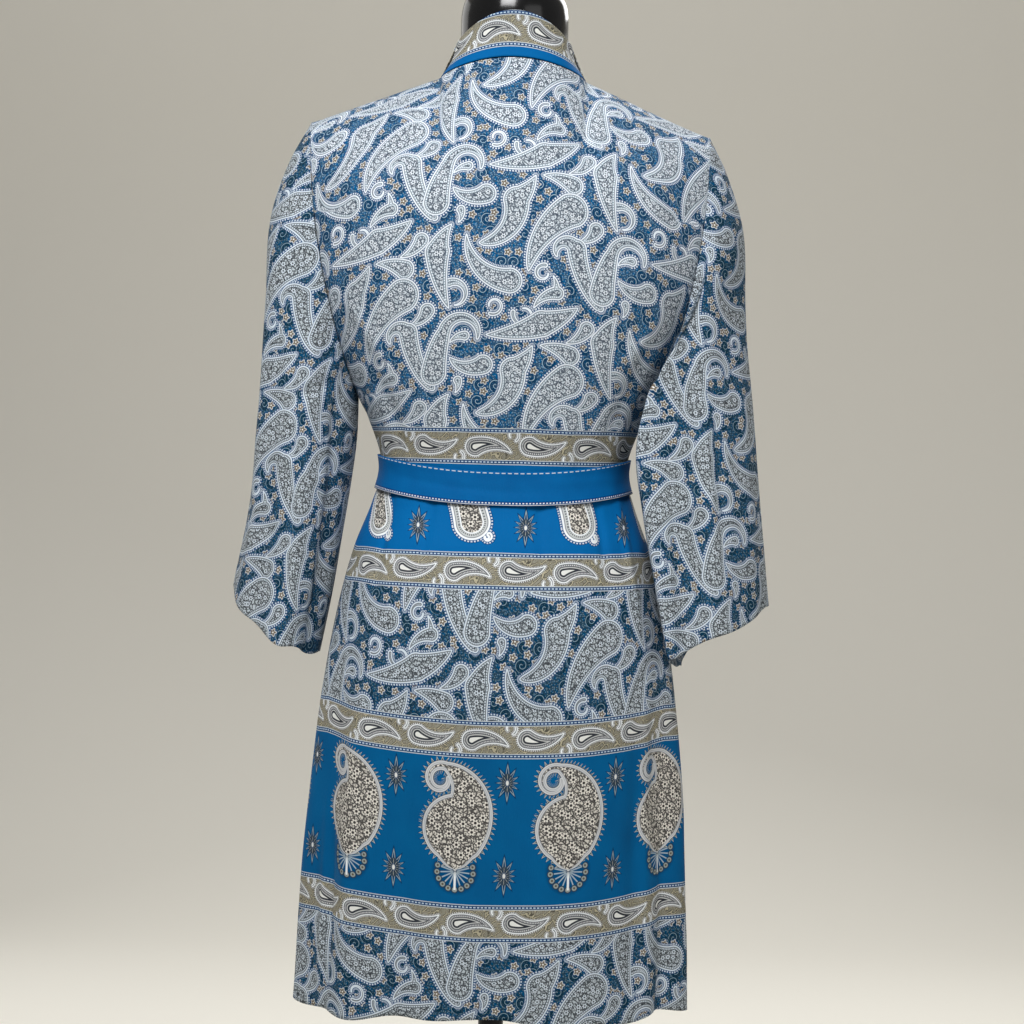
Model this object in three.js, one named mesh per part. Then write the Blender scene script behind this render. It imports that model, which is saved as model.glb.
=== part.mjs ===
// A knee-length kimono robe of thin printed crepe, belted at the waist and worn by a limbless dress form
// on a pole stand. The robe is cut as a maker would cut it: a back and two wrapped fronts above the waist
// seam, a back and two wrapped fronts below it, two straight sleeves, a standing collar that runs on as a
// band down each front edge, and a sash with its knot and two ends. Each cloth piece is a thin wall whose
// outer face follows a surface worked out from the section tables below.
//
// Millimetres. +Z is up, the floor is z = 0, the robe's front faces -Y and the wearer's left is +X.

import * as THREE from "three";

// ---------------------------------------------------------------- driving dimensions
const CLOTH = 1.6; // wall of every cloth piece
const SEAM = 0.35; // clearance left along each seam
const WAIST_Z = 1030; // waist seam, hidden by the sash
const HEM_Z = 512;
const ROUNDNESS = 2.3; // superellipse power of the body sections
const BAND = 46; // width of the collar and of the front bands
const LAP_RAISE = 4.2; // how far the upper front stands off the one beneath it
const LAP_FROM = 128; // distance from the centre line where that rise begins
const LAP_FULL = 78; // and where it is complete
const BAND_TURN_FROM = 0.1; // share of the yoke above which a front band turns up to stand against the neck

const NECK = { x: 72, y: 5, z: 1428 }; // where shoulder, collar and front meet
const NAPE = { y: 62, z: 1443 };
// The collar's free edge at the neck points and the nape, its lift off the neckline and the hollow of its
// face.
const COLLAR = { x: 58, y: 1, depth: 59.5, sideHeight: 33, lift: 0.9, hollow: 3 };
const SHOULDER_TIP = { x: 199, z: 1381 };
const UNDERARM = { x: 147, z: 1110 };
const ARMHOLE = { depth: 54, bulge: 12, step: 12 }; // step: degrees from one seam point to the next
const YOKE_ANGLE = 72; // armhole angle above which the cloth bends over to the shoulder line

// How a column of the yoke bends over: how far it keeps rising, then its reach from and drop below the top
// edge, for the back at the nape and at the shoulder and for the fronts. From edgeFrom outwards it is
// drawn to the armhole.
const YOKE = { rise: 0.42, nape: [14, 30], shoulder: [44, 5], front: [46, 3], edgeFrom: 0.72 };
const NAPE_BLEND = [54, 94]; // distances from the centre between which nape gives way to shoulder

// The right shoulder sits a little lower and further in than the left one.
const SETTLE = { drop: 6, inwards: 3, from: { x: 40, z: 1180 }, full: { x: 200, z: 1370 } };

const SASH = { height: 33, thickness: 2.2, clearance: 1, sideZ: 1036, backZ: 1023, frontZ: 1034 };

const KNOT = { x: -14, halfWidth: 21, halfHeight: 21, depth: 17 };
const SASH_END_GATHER = { width: 0.5, from: 0.6 }; // how narrow an end is at the knot and where that begins
const SASH_END_SETTLED = 0.2; // share of its length by which an end has reached its lift off the skirt

// The two ends of the sash: where each leaves the knot, how far it leans, its length, how far it stands
// off the skirt and how much one edge turns outwards.
const SASH_ENDS = [
  { name: "sash_end_left", x: -4, lean: 30, length: 330, lift: 5, twist: 8 },
  { name: "sash_end_right", x: -25, lean: -20, length: 300, lift: 5, twist: 6 },
];

// Cloth sections of the body: half width at the side seam, and the depths of the back and of the front.
const BODY_SECTIONS = [
  { z: 500, side: 195, back: 140, front: 130 },
  { z: 620, side: 190, back: 138, front: 127 },
  { z: 740, side: 183, back: 137, front: 122 },
  { z: 820, side: 176, back: 135, front: 116 },
  { z: 900, side: 163, back: 128, front: 108 },
  { z: 960, side: 148, back: 114, front: 100 },
  { z: 1005, side: 131, back: 98, front: 92 },
  { z: 1042, side: 122, back: 91, front: 88 },
  { z: 1090, side: 137, back: 99, front: 102 },
  { z: 1110, side: 147, back: 103, front: 108 },
  { z: 1155, side: 158, back: 110, front: 122 },
  { z: 1220, side: 168, back: 117, front: 128 },
  { z: 1290, side: 176, back: 114, front: 112 },
];

// Free edge of the wearer's left front, as a distance to the left of the centre line.
const FRONT_EDGE = [
  { z: 500, x: -74 },
  { z: 900, x: -74 },
  { z: 1042, x: -54 },
  { z: 1110, x: -22 },
  { z: 1200, x: 8 },
  { z: 1290, x: 34 },
];

// Soft folds of the body cloth. The angle runs from the centre back (0) over the wearer's left (90) to the
// front.
const BODY_FOLDS = [
  { angle: 6, width: 7, depth: 2.5, top: 760, full: 560 },
  { angle: 26, width: 8, depth: -2.5, top: 930, full: 640 },
  { angle: 44, width: 8, depth: 4, top: 1000, full: 640 },
  { angle: 60, width: 6, depth: -5, top: 940, full: 620 },
  { angle: 74, width: 6, depth: 8, top: 1010, full: 600 },
  { angle: 98, width: 6, depth: -8, top: 960, full: 620 },
  { angle: 116, width: 7, depth: 7, top: 1000, full: 620 },
  { angle: 138, width: 8, depth: -4, top: 960, full: 600 },
  { angle: -20, width: 8, depth: 3, top: 900, full: 600 },
  { angle: -40, width: 7, depth: -3, top: 960, full: 640 },
  { angle: -58, width: 4.5, depth: -8, top: 860, full: 700 },
  { angle: -71, width: 6, depth: 8, top: 990, full: 680 },
  { angle: -95, width: 6, depth: -8, top: 960, full: 620 },
  { angle: -113, width: 7, depth: 7, top: 1000, full: 620 },
  { angle: -136, width: 8, depth: -4, top: 960, full: 600 },
];

// Waves of the hem line, all round, and of the cuffs' edges.
const HEM_WAVES = [
  { count: 5, depth: 3.5, phase: 40 },
  { count: 13, depth: 2.2, phase: 100 },
];
const CUFF_WAVES = [
  { count: 3, depth: 4, phase: 50 },
  { count: 7, depth: 2, phase: 0 },
];
const CUFF_WAVE_FROM = 0.75; // share of the sleeve's length where the cuff's wave begins
const BULGE_END = 0.6; // share of the sleeve's length where the armhole's bulge has faded out

// Sleeve sections from armhole (0) to cuff (1): the fold line at the outside, the seam beneath the arm,
// the half depth from front to back, how far the section lies towards the back, how far its back half
// swings inwards and how far the back hangs below the middle.
const SLEEVE_SECTIONS = {
  left: [
    { t: 0.0, outX: 199, outZ: 1383, inX: 147, inZ: 1110, depth: 54, back: 0, swing: 0, tilt: 0 },
    { t: 0.12, outX: 224, outZ: 1334, inX: 147, inZ: 1088, depth: 60, back: 0, swing: 0, tilt: 0 },
    { t: 0.26, outX: 239, outZ: 1276, inX: 148, inZ: 1062, depth: 67, back: 1, swing: -2, tilt: 0 },
    { t: 0.44, outX: 241, outZ: 1190, inX: 153, inZ: 1020, depth: 73, back: 2, swing: -4, tilt: 0 },
    { t: 0.62, outX: 246, outZ: 1092, inX: 160, inZ: 972, depth: 77, back: 2, swing: -2, tilt: 4 },
    { t: 0.8, outX: 253, outZ: 1000, inX: 168, inZ: 918, depth: 80, back: 2, swing: 2, tilt: 10 },
    { t: 1.0, outX: 267, outZ: 916, inX: 180, inZ: 857, depth: 82, back: 2, swing: 6, tilt: 16 },
  ],
  right: [
    { t: 0.0, outX: 199, outZ: 1383, inX: 147, inZ: 1110, depth: 54, back: 0, swing: 0, tilt: 0 },
    { t: 0.12, outX: 218, outZ: 1344, inX: 147, inZ: 1088, depth: 60, back: 1, swing: 8, tilt: 0 },
    { t: 0.26, outX: 234, outZ: 1286, inX: 147, inZ: 1060, depth: 68, back: 4, swing: 32, tilt: 0 },
    { t: 0.44, outX: 237, outZ: 1194, inX: 149, inZ: 1016, depth: 75, back: 7, swing: 57, tilt: 0 },
    { t: 0.62, outX: 247, outZ: 1098, inX: 156, inZ: 966, depth: 80, back: 9, swing: 56, tilt: 3 },
    { t: 0.8, outX: 257, outZ: 1006, inX: 167, inZ: 914, depth: 82, back: 11, swing: 53, tilt: 8 },
    { t: 1.0, outX: 267, outZ: 908, inX: 181, inZ: 852, depth: 84, back: 12, swing: 52, tilt: 12 },
  ],
};

// Folds along the sleeves. The angle runs from the outer fold line (0) over the back (90) to the inner
// seam (180).
const SLEEVE_FOLDS = {
  left: [
    { angle: 30, width: 11, depth: 3.5, from: 0.2, full: 0.5 },
    { angle: 62, width: 12, depth: -4, from: 0.1, full: 0.45 },
    { angle: 96, width: 12, depth: 4, from: 0.15, full: 0.6 },
    { angle: 132, width: 11, depth: -7, from: 0.08, full: 0.35 },
    { angle: 158, width: 10, depth: 3, from: 0.3, full: 0.7 },
    { angle: 222, width: 13, depth: -6, from: 0.1, full: 0.5 },
    { angle: 262, width: 13, depth: 4, from: 0.2, full: 0.6 },
    { angle: 305, width: 13, depth: -4, from: 0.2, full: 0.6 },
  ],
  right: [
    { angle: 22, width: 11, depth: -3.5, from: 0.3, full: 0.7 },
    { angle: 50, width: 11, depth: 4.5, from: 0.15, full: 0.6 },
    { angle: 80, width: 10, depth: -6, from: 0.35, full: 0.8 },
    { angle: 108, width: 11, depth: 4, from: 0.1, full: 0.5 },
    { angle: 138, width: 11, depth: -6, from: 0.08, full: 0.35 },
    { angle: 218, width: 13, depth: -6, from: 0.1, full: 0.5 },
    { angle: 258, width: 13, depth: 4, from: 0.2, full: 0.6 },
    { angle: 300, width: 13, depth: -4, from: 0.2, full: 0.6 },
  ],
};

// Sections of the dress form, from its flat underside to the shoulders, the neck and the domed neck cap.
const FORM_SECTIONS = [
  { z: 806, side: 146, back: 104, front: 86, round: 2.3 },
  { z: 850, side: 154, back: 113, front: 94, round: 2.3 },
  { z: 900, side: 150, back: 112, front: 94, round: 2.3 },
  { z: 960, side: 135, back: 98, front: 86, round: 2.3 },
  { z: 1005, side: 119, back: 85, front: 78, round: 2.3 },
  { z: 1042, side: 113, back: 80, front: 76, round: 2.3 },
  { z: 1090, side: 120, back: 84, front: 84, round: 2.3 },
  { z: 1155, side: 136, back: 94, front: 106, round: 2.3 },
  { z: 1220, side: 149, back: 101, front: 115, round: 2.3 },
  { z: 1290, side: 160, back: 97, front: 94, round: 2.2 },
  { z: 1340, side: 171, back: 84, front: 72, round: 1.95 },
  { z: 1366, side: 178, back: 75, front: 62, round: 1.7 },
  { z: 1384, side: 176, back: 60, front: 46, round: 1.4 },
  { z: 1393, side: 158.8, back: 56, front: 36, round: 1.3 },
  { z: 1404, side: 128.8, back: 50, front: 32, round: 1.3 },
  { z: 1418, side: 84, back: 39, front: 26, round: 1.3 },
  { z: 1428, side: 57, back: 42, front: 36, round: 1.9 },
  { z: 1437, side: 56, back: 48, front: 42, round: 2 },
  { z: 1450, side: 54.5, back: 52.5, front: 47, round: 2 },
  { z: 1470, side: 53.5, back: 52, front: 48, round: 2 },
  { z: 1492, side: 53, back: 51.5, front: 48, round: 2 },
  { z: 1507, side: 49, back: 47.5, front: 44, round: 2 },
  { z: 1518, side: 38, back: 37.5, front: 35, round: 2 },
  { z: 1525, side: 20, back: 20, front: 19, round: 2 },
];
const FORM_TOP_Z = 1527;
const FORM_SIDES = 36;
const STAND = {
  poleRadius: 12.5,
  plateRadius: 30, // plate that carries the form on the pole
  plateHeight: 10,
  plateCone: 12, // height of the cone that widens from the pole to the plate
  baseRadius: 178,
  baseEdge: 6,
  bevel: [8, 3], // across and up
  baseRise: 12,
  hubRadius: 26,
  hubHeight: 34,
  hubFillet: [14, 8], // across and up
};

// Grid of each piece: steps across and steps along.
const GRID = {
  backBodice: { across: 26 },
  frontBodice: { across: 12 },
  crowding: 1.4, // draws the skirt's rows together towards the waist; 1 spaces them evenly
  backSkirt: { across: 34, along: 13 },
  frontSkirt: { across: 20, along: 12 },
  sleeve: { along: 16 },
  collar: { around: 20, across: 3 },
  band: { across: 2 },
  sash: { around: 44, across: 2 },
  knot: { around: 14, along: 7 },
  sashEnd: { across: 3, along: 11 },
  stand: { base: 40, pole: 24 },
};

// ---------------------------------------------------------------- small mathematics
const rad = THREE.MathUtils.degToRad;
const lerp = THREE.MathUtils.lerp;
const smooth = THREE.MathUtils.smoothstep;
const vec = (x, y, z) => new THREE.Vector3(x, y, z);
const steps = (count, from = 0, to = 1) =>
  Array.from({ length: count + 1 }, (_, i) => lerp(from, to, i / count));

// Catmull-Rom value of one column of a table at a place on its key column.
function tableAt(rows, key, column, at) {
  const last = rows.length - 1;
  const place = THREE.MathUtils.clamp(at, rows[0][key], rows[last][key]);
  let i = 0;
  while (i < last - 1 && place > rows[i + 1][key]) i += 1;
  const [a, b] = [rows[i], rows[i + 1]];
  const span = b[key] - a[key];
  const slope = (lower, upper) => (upper[column] - lower[column]) / (upper[key] - lower[key]);
  const slopeA = slope(rows[Math.max(i - 1, 0)], b) * span;
  const slopeB = slope(a, rows[Math.min(i + 2, last)]) * span;
  const s = (place - a[key]) / span;
  const [s2, s3] = [s * s, s * s * s];
  return (
    a[column] * (2 * s3 - 3 * s2 + 1) +
    slopeA * (s3 - 2 * s2 + s) +
    b[column] * (3 * s2 - 2 * s3) +
    slopeB * (s3 - s2)
  );
}

// Cubic through four control points.
function bezier(p0, p1, p2, p3, w) {
  return new THREE.CubicBezierCurve3(p0, p1, p2, p3).getPoint(w);
}

const power = (value, round = ROUNDNESS) => Math.sign(value) * Math.abs(value) ** (2 / round);
const unpower = (value, round = ROUNDNESS) => Math.sign(value) * Math.abs(value) ** (round / 2);
const degrees = THREE.MathUtils.radToDeg;

// ---------------------------------------------------------------- surfaces of the cloth

// Sum of the folds of a table at an angle, each a soft ridge or trough that starts at one place and is
// full at another.
function foldDepth(folds, angle, place, startKey) {
  return folds.reduce((sum, fold) => {
    const away = ((angle - fold.angle + 540) % 360) - 180;
    const grown = Math.abs(place - fold[startKey]) / Math.abs(fold.full - fold[startKey]);
    const started = (place - fold[startKey]) * (fold.full - fold[startKey]) > 0;
    const share = started ? smooth(grown, 0, 1) : 0;
    return sum + fold.depth * share * Math.exp(-((away / fold.width) ** 2));
  }, 0);
}

// A point of the armhole seam. The angle runs from the shoulder tip (0) over the back (90) to the underarm
// (180).
function armholePoint(side, angle) {
  const [c, s] = [Math.cos(rad(angle)), Math.sin(rad(angle))];
  const x = lerp(UNDERARM.x, SHOULDER_TIP.x, (1 + c) / 2) + ARMHOLE.bulge * s * s;
  const z = lerp(UNDERARM.z, SHOULDER_TIP.z, (1 + c) / 2);
  return vec(side * x, ARMHOLE.depth * s, z);
}

// The armhole angle, over the back, at a height between underarm and shoulder tip.
function armholeAngle(z) {
  const share = (z - UNDERARM.z) / (SHOULDER_TIP.z - UNDERARM.z);
  return degrees(Math.acos(THREE.MathUtils.clamp(2 * share - 1, -1, 1)));
}

const YOKE_Z = armholePoint(1, YOKE_ANGLE).z;

// Heights of the bodice's rows, with one at each point of the armhole seam.
const BODICE_HEIGHTS = [0, 12, 26, 44, 62].map((rise) => WAIST_Z + rise);
for (let angle = 180; angle >= YOKE_ANGLE; angle -= ARMHOLE.step) {
  BODICE_HEIGHTS.push(armholePoint(1, angle).z);
}
const YOKE_STEPS = YOKE_ANGLE / ARMHOLE.step;

// The section at a height: half width to the side edge and the depths. Above the underarm the section is
// cut short at the armhole, so its sweep, for the back and for the front, is less than a quarter turn.
function bodySection(z) {
  const edge = z > UNDERARM.z ? armholePoint(1, armholeAngle(z)) : null;
  const back = tableAt(BODY_SECTIONS, "z", "back", z);
  const front = tableAt(BODY_SECTIONS, "z", "front", z);
  const sweep = (depth) => (edge ? Math.acos(unpower(edge.y / depth)) : Math.PI / 2);
  return {
    side: edge ? edge.x : tableAt(BODY_SECTIONS, "z", "side", z),
    back: { depth: back, sweep: sweep(back) },
    front: { depth: front, sweep: sweep(front) },
  };
}

// A point of the robe's body. The angle runs from the centre back (0) over the wearer's left side (90) to
// the centre front (180), or the other way over the right. Lift moves a front straight off the surface.
function bodyPoint(angle, z, lift = 0) {
  const section = bodySection(z);
  const turn = ((angle + 540) % 360) - 180;
  const isBack = Math.abs(turn) <= 90;
  const { depth, sweep } = isBack ? section.back : section.front;
  const along = ((isBack ? Math.abs(turn) : 180 - Math.abs(turn)) / 90) * sweep;
  const fold = foldDepth(BODY_FOLDS, angle, z, "top");
  const x = (power(Math.sin(along)) / power(Math.sin(sweep))) * (section.side + fold);
  const y = power(Math.cos(along)) * (depth + (isBack ? 0 : lift) + fold * Math.cos(along));
  return vec(Math.sign(turn) * x, isBack ? y : -y, z);
}

// The top edge that a column of a panel runs up to: on the neckline near the centre, else on the shoulder
// line.
function topEdge(x) {
  const width = Math.min(Math.abs(x), SHOULDER_TIP.x);
  if (width < NECK.x) {
    const share = width / NECK.x;
    const y = NECK.y + (NAPE.y - NECK.y) * Math.sqrt(1 - share ** 2);
    return vec(x, y, lerp(NAPE.z, NECK.z, share ** 2));
  }
  const share = (width - NECK.x) / (SHOULDER_TIP.x - NECK.x);
  return vec(x, NECK.y * (1 - share), lerp(NECK.z, SHOULDER_TIP.z, share));
}

// One column of the yoke: from the section at the yoke's foot, up and over to the top edge.
function yokePoint(foot, top, edgeShare, facing, w) {
  const rise = vec(foot.x, foot.y, foot.z + YOKE.rise * (top.z - foot.z));
  const onShoulder = smooth(Math.abs(top.x), ...NAPE_BLEND);
  const back = YOKE.nape.map((v, i) => lerp(v, YOKE.shoulder[i], onShoulder));
  const [reach, drop] = facing > 0 ? back : YOKE.front;
  const over = vec(top.x, top.y + facing * reach, top.z - drop);
  const free = bezier(foot, rise, over, top, w);
  const seam = armholePoint(Math.sign(foot.x || 1), facing * YOKE_ANGLE * (1 - w));
  return free.lerp(seam, smooth(edgeShare, YOKE.edgeFrom, 1));
}

// ---------------------------------------------------------------- solids

// The outward normals of a grid of points, by differences between neighbours.
function gridNormals(rows, closed) {
  const [count, width] = [rows.length, rows[0].length];
  const column = (j) => (closed ? (j + width) % width : THREE.MathUtils.clamp(j, 0, width - 1));
  return rows.map((row, i) =>
    row.map((_, j) => {
      const across = row[column(j + 1)].clone().sub(row[column(j - 1)]);
      const upper = rows[Math.min(i + 1, count - 1)][j];
      const lower = rows[Math.max(i - 1, 0)][j];
      return across.cross(upper.clone().sub(lower)).normalize();
    }),
  );
}

// A closed wall between a grid of points and the same grid moved back by the wall's thickness. Rows run
// along the piece and each row across it, so that across x along points outwards. A closed grid is a tube,
// open at its ends. A mitre turns the direction of the thickness at the places it picks, so that two
// pieces meet along their seam.
function wall(rows, { thickness = CLOTH, closed = false, mitre = () => {} } = {}) {
  const normals = gridNormals(rows, closed);
  const [count, width] = [rows.length, rows[0].length];
  normals.forEach((row, i) => row.forEach((normal, j) => mitre(normal, i, j)));
  const outer = rows.flat();
  const moved = (p, i, j) => p.clone().addScaledVector(normals[i][j], -thickness);
  const inner = rows.flatMap((row, i) => row.map((p, j) => moved(p, i, j)));
  const id = (i, j, back) => (back ? count * width : 0) + i * width + (j % width);
  const faces = [];
  const quad = (a, b, c, d) => faces.push(a, b, c, a, c, d);
  const lastColumn = closed ? width : width - 1;
  for (let i = 0; i < count - 1; i += 1) {
    for (let j = 0; j < lastColumn; j += 1) {
      quad(id(i, j), id(i, j + 1), id(i + 1, j + 1), id(i + 1, j));
      quad(id(i, j, 1), id(i + 1, j, 1), id(i + 1, j + 1, 1), id(i, j + 1, 1));
    }
  }
  for (let j = 0; j < lastColumn; j += 1) {
    quad(id(0, j), id(0, j, 1), id(0, j + 1, 1), id(0, j + 1));
    quad(id(count - 1, j), id(count - 1, j + 1), id(count - 1, j + 1, 1), id(count - 1, j, 1));
  }
  if (!closed) {
    for (let i = 0; i < count - 1; i += 1) {
      quad(id(i, 0), id(i + 1, 0), id(i + 1, 0, 1), id(i, 0, 1));
      quad(id(i, width - 1), id(i, width - 1, 1), id(i + 1, width - 1, 1), id(i + 1, width - 1));
    }
  }
  return geometryOf([...outer, ...inner], faces);
}

// A closed solid lofted through rings of equal length, the first flat end closed at its middle and the
// last at a tip.
function loft(rings, tip) {
  const sides = rings[0].length;
  const points = rings.flat();
  const bottom = rings[0].reduce((sum, p) => sum.add(p), vec(0, 0, 0)).divideScalar(sides);
  points.push(bottom, tip);
  const faces = [];
  const id = (i, j) => i * sides + (j % sides);
  for (let j = 0; j < sides; j += 1) {
    for (let i = 0; i < rings.length - 1; i += 1) {
      faces.push(id(i, j), id(i, j + 1), id(i + 1, j + 1), id(i, j), id(i + 1, j + 1), id(i + 1, j));
    }
    faces.push(id(0, j + 1), id(0, j), points.length - 2);
    faces.push(id(rings.length - 1, j), id(rings.length - 1, j + 1), points.length - 1);
  }
  return geometryOf(points, faces);
}

function geometryOf(points, faces) {
  const geometry = new THREE.BufferGeometry().setFromPoints(points);
  geometry.setIndex(faces);
  geometry.computeVertexNormals();
  return geometry;
}

// ---------------------------------------------------------------- cut pieces of the robe

const SHOULDER_PLANE = vec(0, 1, 0); // normal of the plane of the shoulder seams
const MITRE_END = [105, 150]; // armhole angles between which the mitre of the armhole fades out
const SEAM_DEGREES = 0.06; // pulls a panel's side edge back from the side seam
const SEAM_SHARE = 0.0035; // pulls a row back from the end of its run

// Sum of the waves of an edge at an angle.
function waveHeight(waves, angle) {
  return waves.reduce((sum, w) => sum + w.depth * Math.sin(rad(w.count * angle + w.phase)), 0);
}

// Heights of a skirt piece's rows at an angle, from hem to waist. The hem line waves a little.
function skirtHeight(angle, v) {
  return lerp(HEM_Z + waveHeight(HEM_WAVES, angle), WAIST_Z - SEAM, v);
}

// Shares of a skirt's height for its rows, closer together towards the waist, where the section changes
// fastest.
const skirtShares = (count) => steps(count).map((v) => 1 - (1 - v) ** GRID.crowding);

function backSkirt() {
  const angles = steps(GRID.backSkirt.across, -90 + SEAM_DEGREES, 90 - SEAM_DEGREES).reverse();
  const shares = skirtShares(GRID.backSkirt.along);
  return wall(shares.map((v) => angles.map((a) => bodyPoint(a, skirtHeight(a, v)))));
}

// Turns a wall's direction at the armhole towards the plane of the seam, fully over the shoulder and not
// at all beneath the arm, where sleeve and bodice part of themselves.
function armholeMitre(normal, side, angle) {
  const axis = vec(side * (SHOULDER_TIP.x - UNDERARM.x), 0, SHOULDER_TIP.z - UNDERARM.z).normalize();
  const outwards = axis.multiplyScalar(Math.cos(rad(angle))).add(vec(0, Math.sin(rad(angle)), 0));
  normal.lerp(outwards, 1 - smooth(Math.abs(angle), ...MITRE_END)).normalize();
}

// The mitre of a bodice piece: its side edges along the armhole and its last row along the shoulder.
function bodiceMitre(facing, sideOf) {
  const yokeRow = BODICE_HEIGHTS.length - 1;
  const underarmRow = yokeRow - (180 - YOKE_ANGLE) / ARMHOLE.step;
  return (normal, i, j) => {
    const side = sideOf(j);
    const angle = facing * (YOKE_ANGLE - (i - yokeRow) * ARMHOLE.step);
    if (side && i >= underarmRow) armholeMitre(normal, side, angle);
    if (i === yokeRow + YOKE_STEPS) normal.projectOnPlane(SHOULDER_PLANE).normalize();
  };
}

function backBodice() {
  const angles = steps(GRID.backBodice.across, -90 + SEAM_DEGREES, 90 - SEAM_DEGREES).reverse();
  const rows = BODICE_HEIGHTS.map((z) => angles.map((a) => bodyPoint(a, z)));
  const scale = SHOULDER_TIP.x / bodySection(YOKE_Z).side;
  steps(YOKE_STEPS).slice(1).forEach((w) => {
    const reach = w * (1 - SEAM_SHARE);
    rows.push(angles.map((a) => {
      const foot = bodyPoint(a, YOKE_Z);
      return yokePoint(foot, topEdge(foot.x * scale), Math.abs(foot.x * scale) / SHOULDER_TIP.x, 1, reach);
    }));
  });
  const sideOf = (j) => (j === 0 ? 1 : j === angles.length - 1 ? -1 : 0);
  return wall(rows, { mitre: bodiceMitre(1, sideOf) });
}

// The rise of the wearer's left front, which laps over the right one, at a distance from the centre line.
function lapRise(side, x) {
  return side > 0 ? LAP_RAISE * (1 - smooth(x, LAP_FULL, LAP_FROM)) : 0;
}

// A point of a front at a distance x towards its own side from the centre line. A negative x is past the
// centre.
function frontPoint(side, x, z) {
  return bodyPoint(side * (180 - frontAngle(x, z)), z, lapRise(side, x));
}

// The angle away from the centre front that lies at a distance x from the centre line.
function frontAngle(x, z) {
  const { side, front } = bodySection(z);
  const share = THREE.MathUtils.clamp(x / side, -1, 1) * power(Math.sin(front.sweep));
  return (Math.asin(unpower(share)) / front.sweep) * 90;
}

// Across a front at a height: x at a share u of the angle from the band's seam to the side edge.
function frontAcross(z, u, start) {
  const { side, front } = bodySection(z);
  const angle = lerp(frontAngle(start, z), 90 - SEAM_DEGREES, u);
  return (power(Math.sin((angle / 90) * front.sweep)) / power(Math.sin(front.sweep))) * side;
}

const seamX = (z) => tableAt(FRONT_EDGE, "z", "x", z) + BAND;

// A front's points at a height, or at a share of the yoke, from the band's seam (u = 0) to the side or
// armhole.
function frontRow(side, z, us) {
  const start = seamX(z) + SEAM;
  return us.map((u) => frontPoint(side, frontAcross(z, u, start), z));
}

function frontYokePoint(side, u, w) {
  const x = frontAcross(YOKE_Z, u, seamX(YOKE_Z) + SEAM);
  const foot = frontPoint(side, x, YOKE_Z);
  const top = topEdge(side * lerp(NECK.x + SEAM, SHOULDER_TIP.x, u));
  top.y -= SEAM;
  return yokePoint(foot, top, x / bodySection(YOKE_Z).side, -1, w * (1 - SEAM_SHARE));
}

// Columns run so that the wall's outer face looks outwards on either side.
const ordered = (side, row) => (side > 0 ? row : [...row].reverse());

function frontBodice(side) {
  const us = steps(GRID.frontBodice.across);
  const rows = BODICE_HEIGHTS.map((z) => ordered(side, frontRow(side, z, us)));
  steps(YOKE_STEPS).slice(1).forEach((w) => {
    rows.push(ordered(side, us.map((u) => frontYokePoint(side, u, w))));
  });
  const last = side > 0 ? us.length - 1 : 0;
  return wall(rows, { mitre: bodiceMitre(-1, (j) => (j === last ? side : 0)) });
}

// A point of a front beneath the waist, on the hem's waves. Its distance from the centre line is worked
// out for its height by the function it is given.
function frontSkirtPoint(side, v, distanceAt) {
  const level = skirtHeight(0, v);
  const guide = frontPoint(side, distanceAt(level), level);
  const z = skirtHeight(degrees(Math.atan2(guide.x, guide.y)), v);
  return frontPoint(side, distanceAt(z), z);
}

function frontSkirt(side) {
  const columns = steps(GRID.frontSkirt.across).map((u) => (z) => frontAcross(z, u, seamX(z) + SEAM));
  const rows = skirtShares(GRID.frontSkirt.along).map((v) =>
    ordered(side, columns.map((distanceAt) => frontSkirtPoint(side, v, distanceAt))),
  );
  return wall(rows);
}

// The band along a front edge: flat on the front from hem to chest, then turning up to stand against the
// neck.
function frontBand(side) {
  const shares = steps(GRID.band.across);
  const columns = shares.map((e) => (z) => seamX(z) - BAND * (1 - e));
  const flatRow = (z) => columns.map((distanceAt) => frontPoint(side, distanceAt(z), z));
  const rows = skirtShares(GRID.frontSkirt.along).map((v) =>
    columns.map((distanceAt) => frontSkirtPoint(side, v, distanceAt)),
  );
  BODICE_HEIGHTS.slice(1).forEach((z) => rows.push(flatRow(z)));
  const foot = flatRow(YOKE_Z);
  const lying = foot[0].clone().sub(foot[foot.length - 1]).normalize();
  const standing = collarEdge(side * 90).sub(collarSeam(side * 90));
  const endWidth = standing.length();
  standing.normalize();
  steps(YOKE_STEPS).slice(1).forEach((w) => {
    const seam = frontYokePoint(side, 0, w);
    const turned = lying.clone().lerp(standing, smooth(w, BAND_TURN_FROM, 1)).normalize();
    const width = lerp(BAND, endWidth, w);
    rows.push(shares.map((e) => seam.clone().addScaledVector(turned, width * (1 - e) + SEAM)));
  });
  return wall(rows.map((row) => ordered(side, row)));
}

// The collar's seam on the neckline and its free edge, by angle from the nape (0) to a neck point (90).
function collarSeam(angle) {
  const share = Math.sin(rad(angle));
  const y = NECK.y + (NAPE.y - NECK.y) * Math.cos(rad(angle));
  return vec(NECK.x * share, y, lerp(NAPE.z, NECK.z, share ** 2) + COLLAR.lift);
}

function collarEdge(angle) {
  const share = Math.sin(rad(angle));
  const z = lerp(NAPE.z + BAND, NECK.z + COLLAR.sideHeight, share ** 2);
  return vec(COLLAR.x * share, COLLAR.y + COLLAR.depth * Math.cos(rad(angle)), z);
}

function collar() {
  const angles = steps(GRID.collar.around, -90 + SEAM_DEGREES, 90 - SEAM_DEGREES).reverse();
  const rows = steps(GRID.collar.across).map((v) => angles.map((a) => {
    const hollow = COLLAR.hollow * Math.sin(Math.PI * v);
    const point = collarSeam(a).lerp(collarEdge(a), v);
    return point.sub(vec(hollow * Math.sin(rad(a)), hollow * Math.cos(rad(a)), 0));
  }));
  return wall(rows);
}

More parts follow.
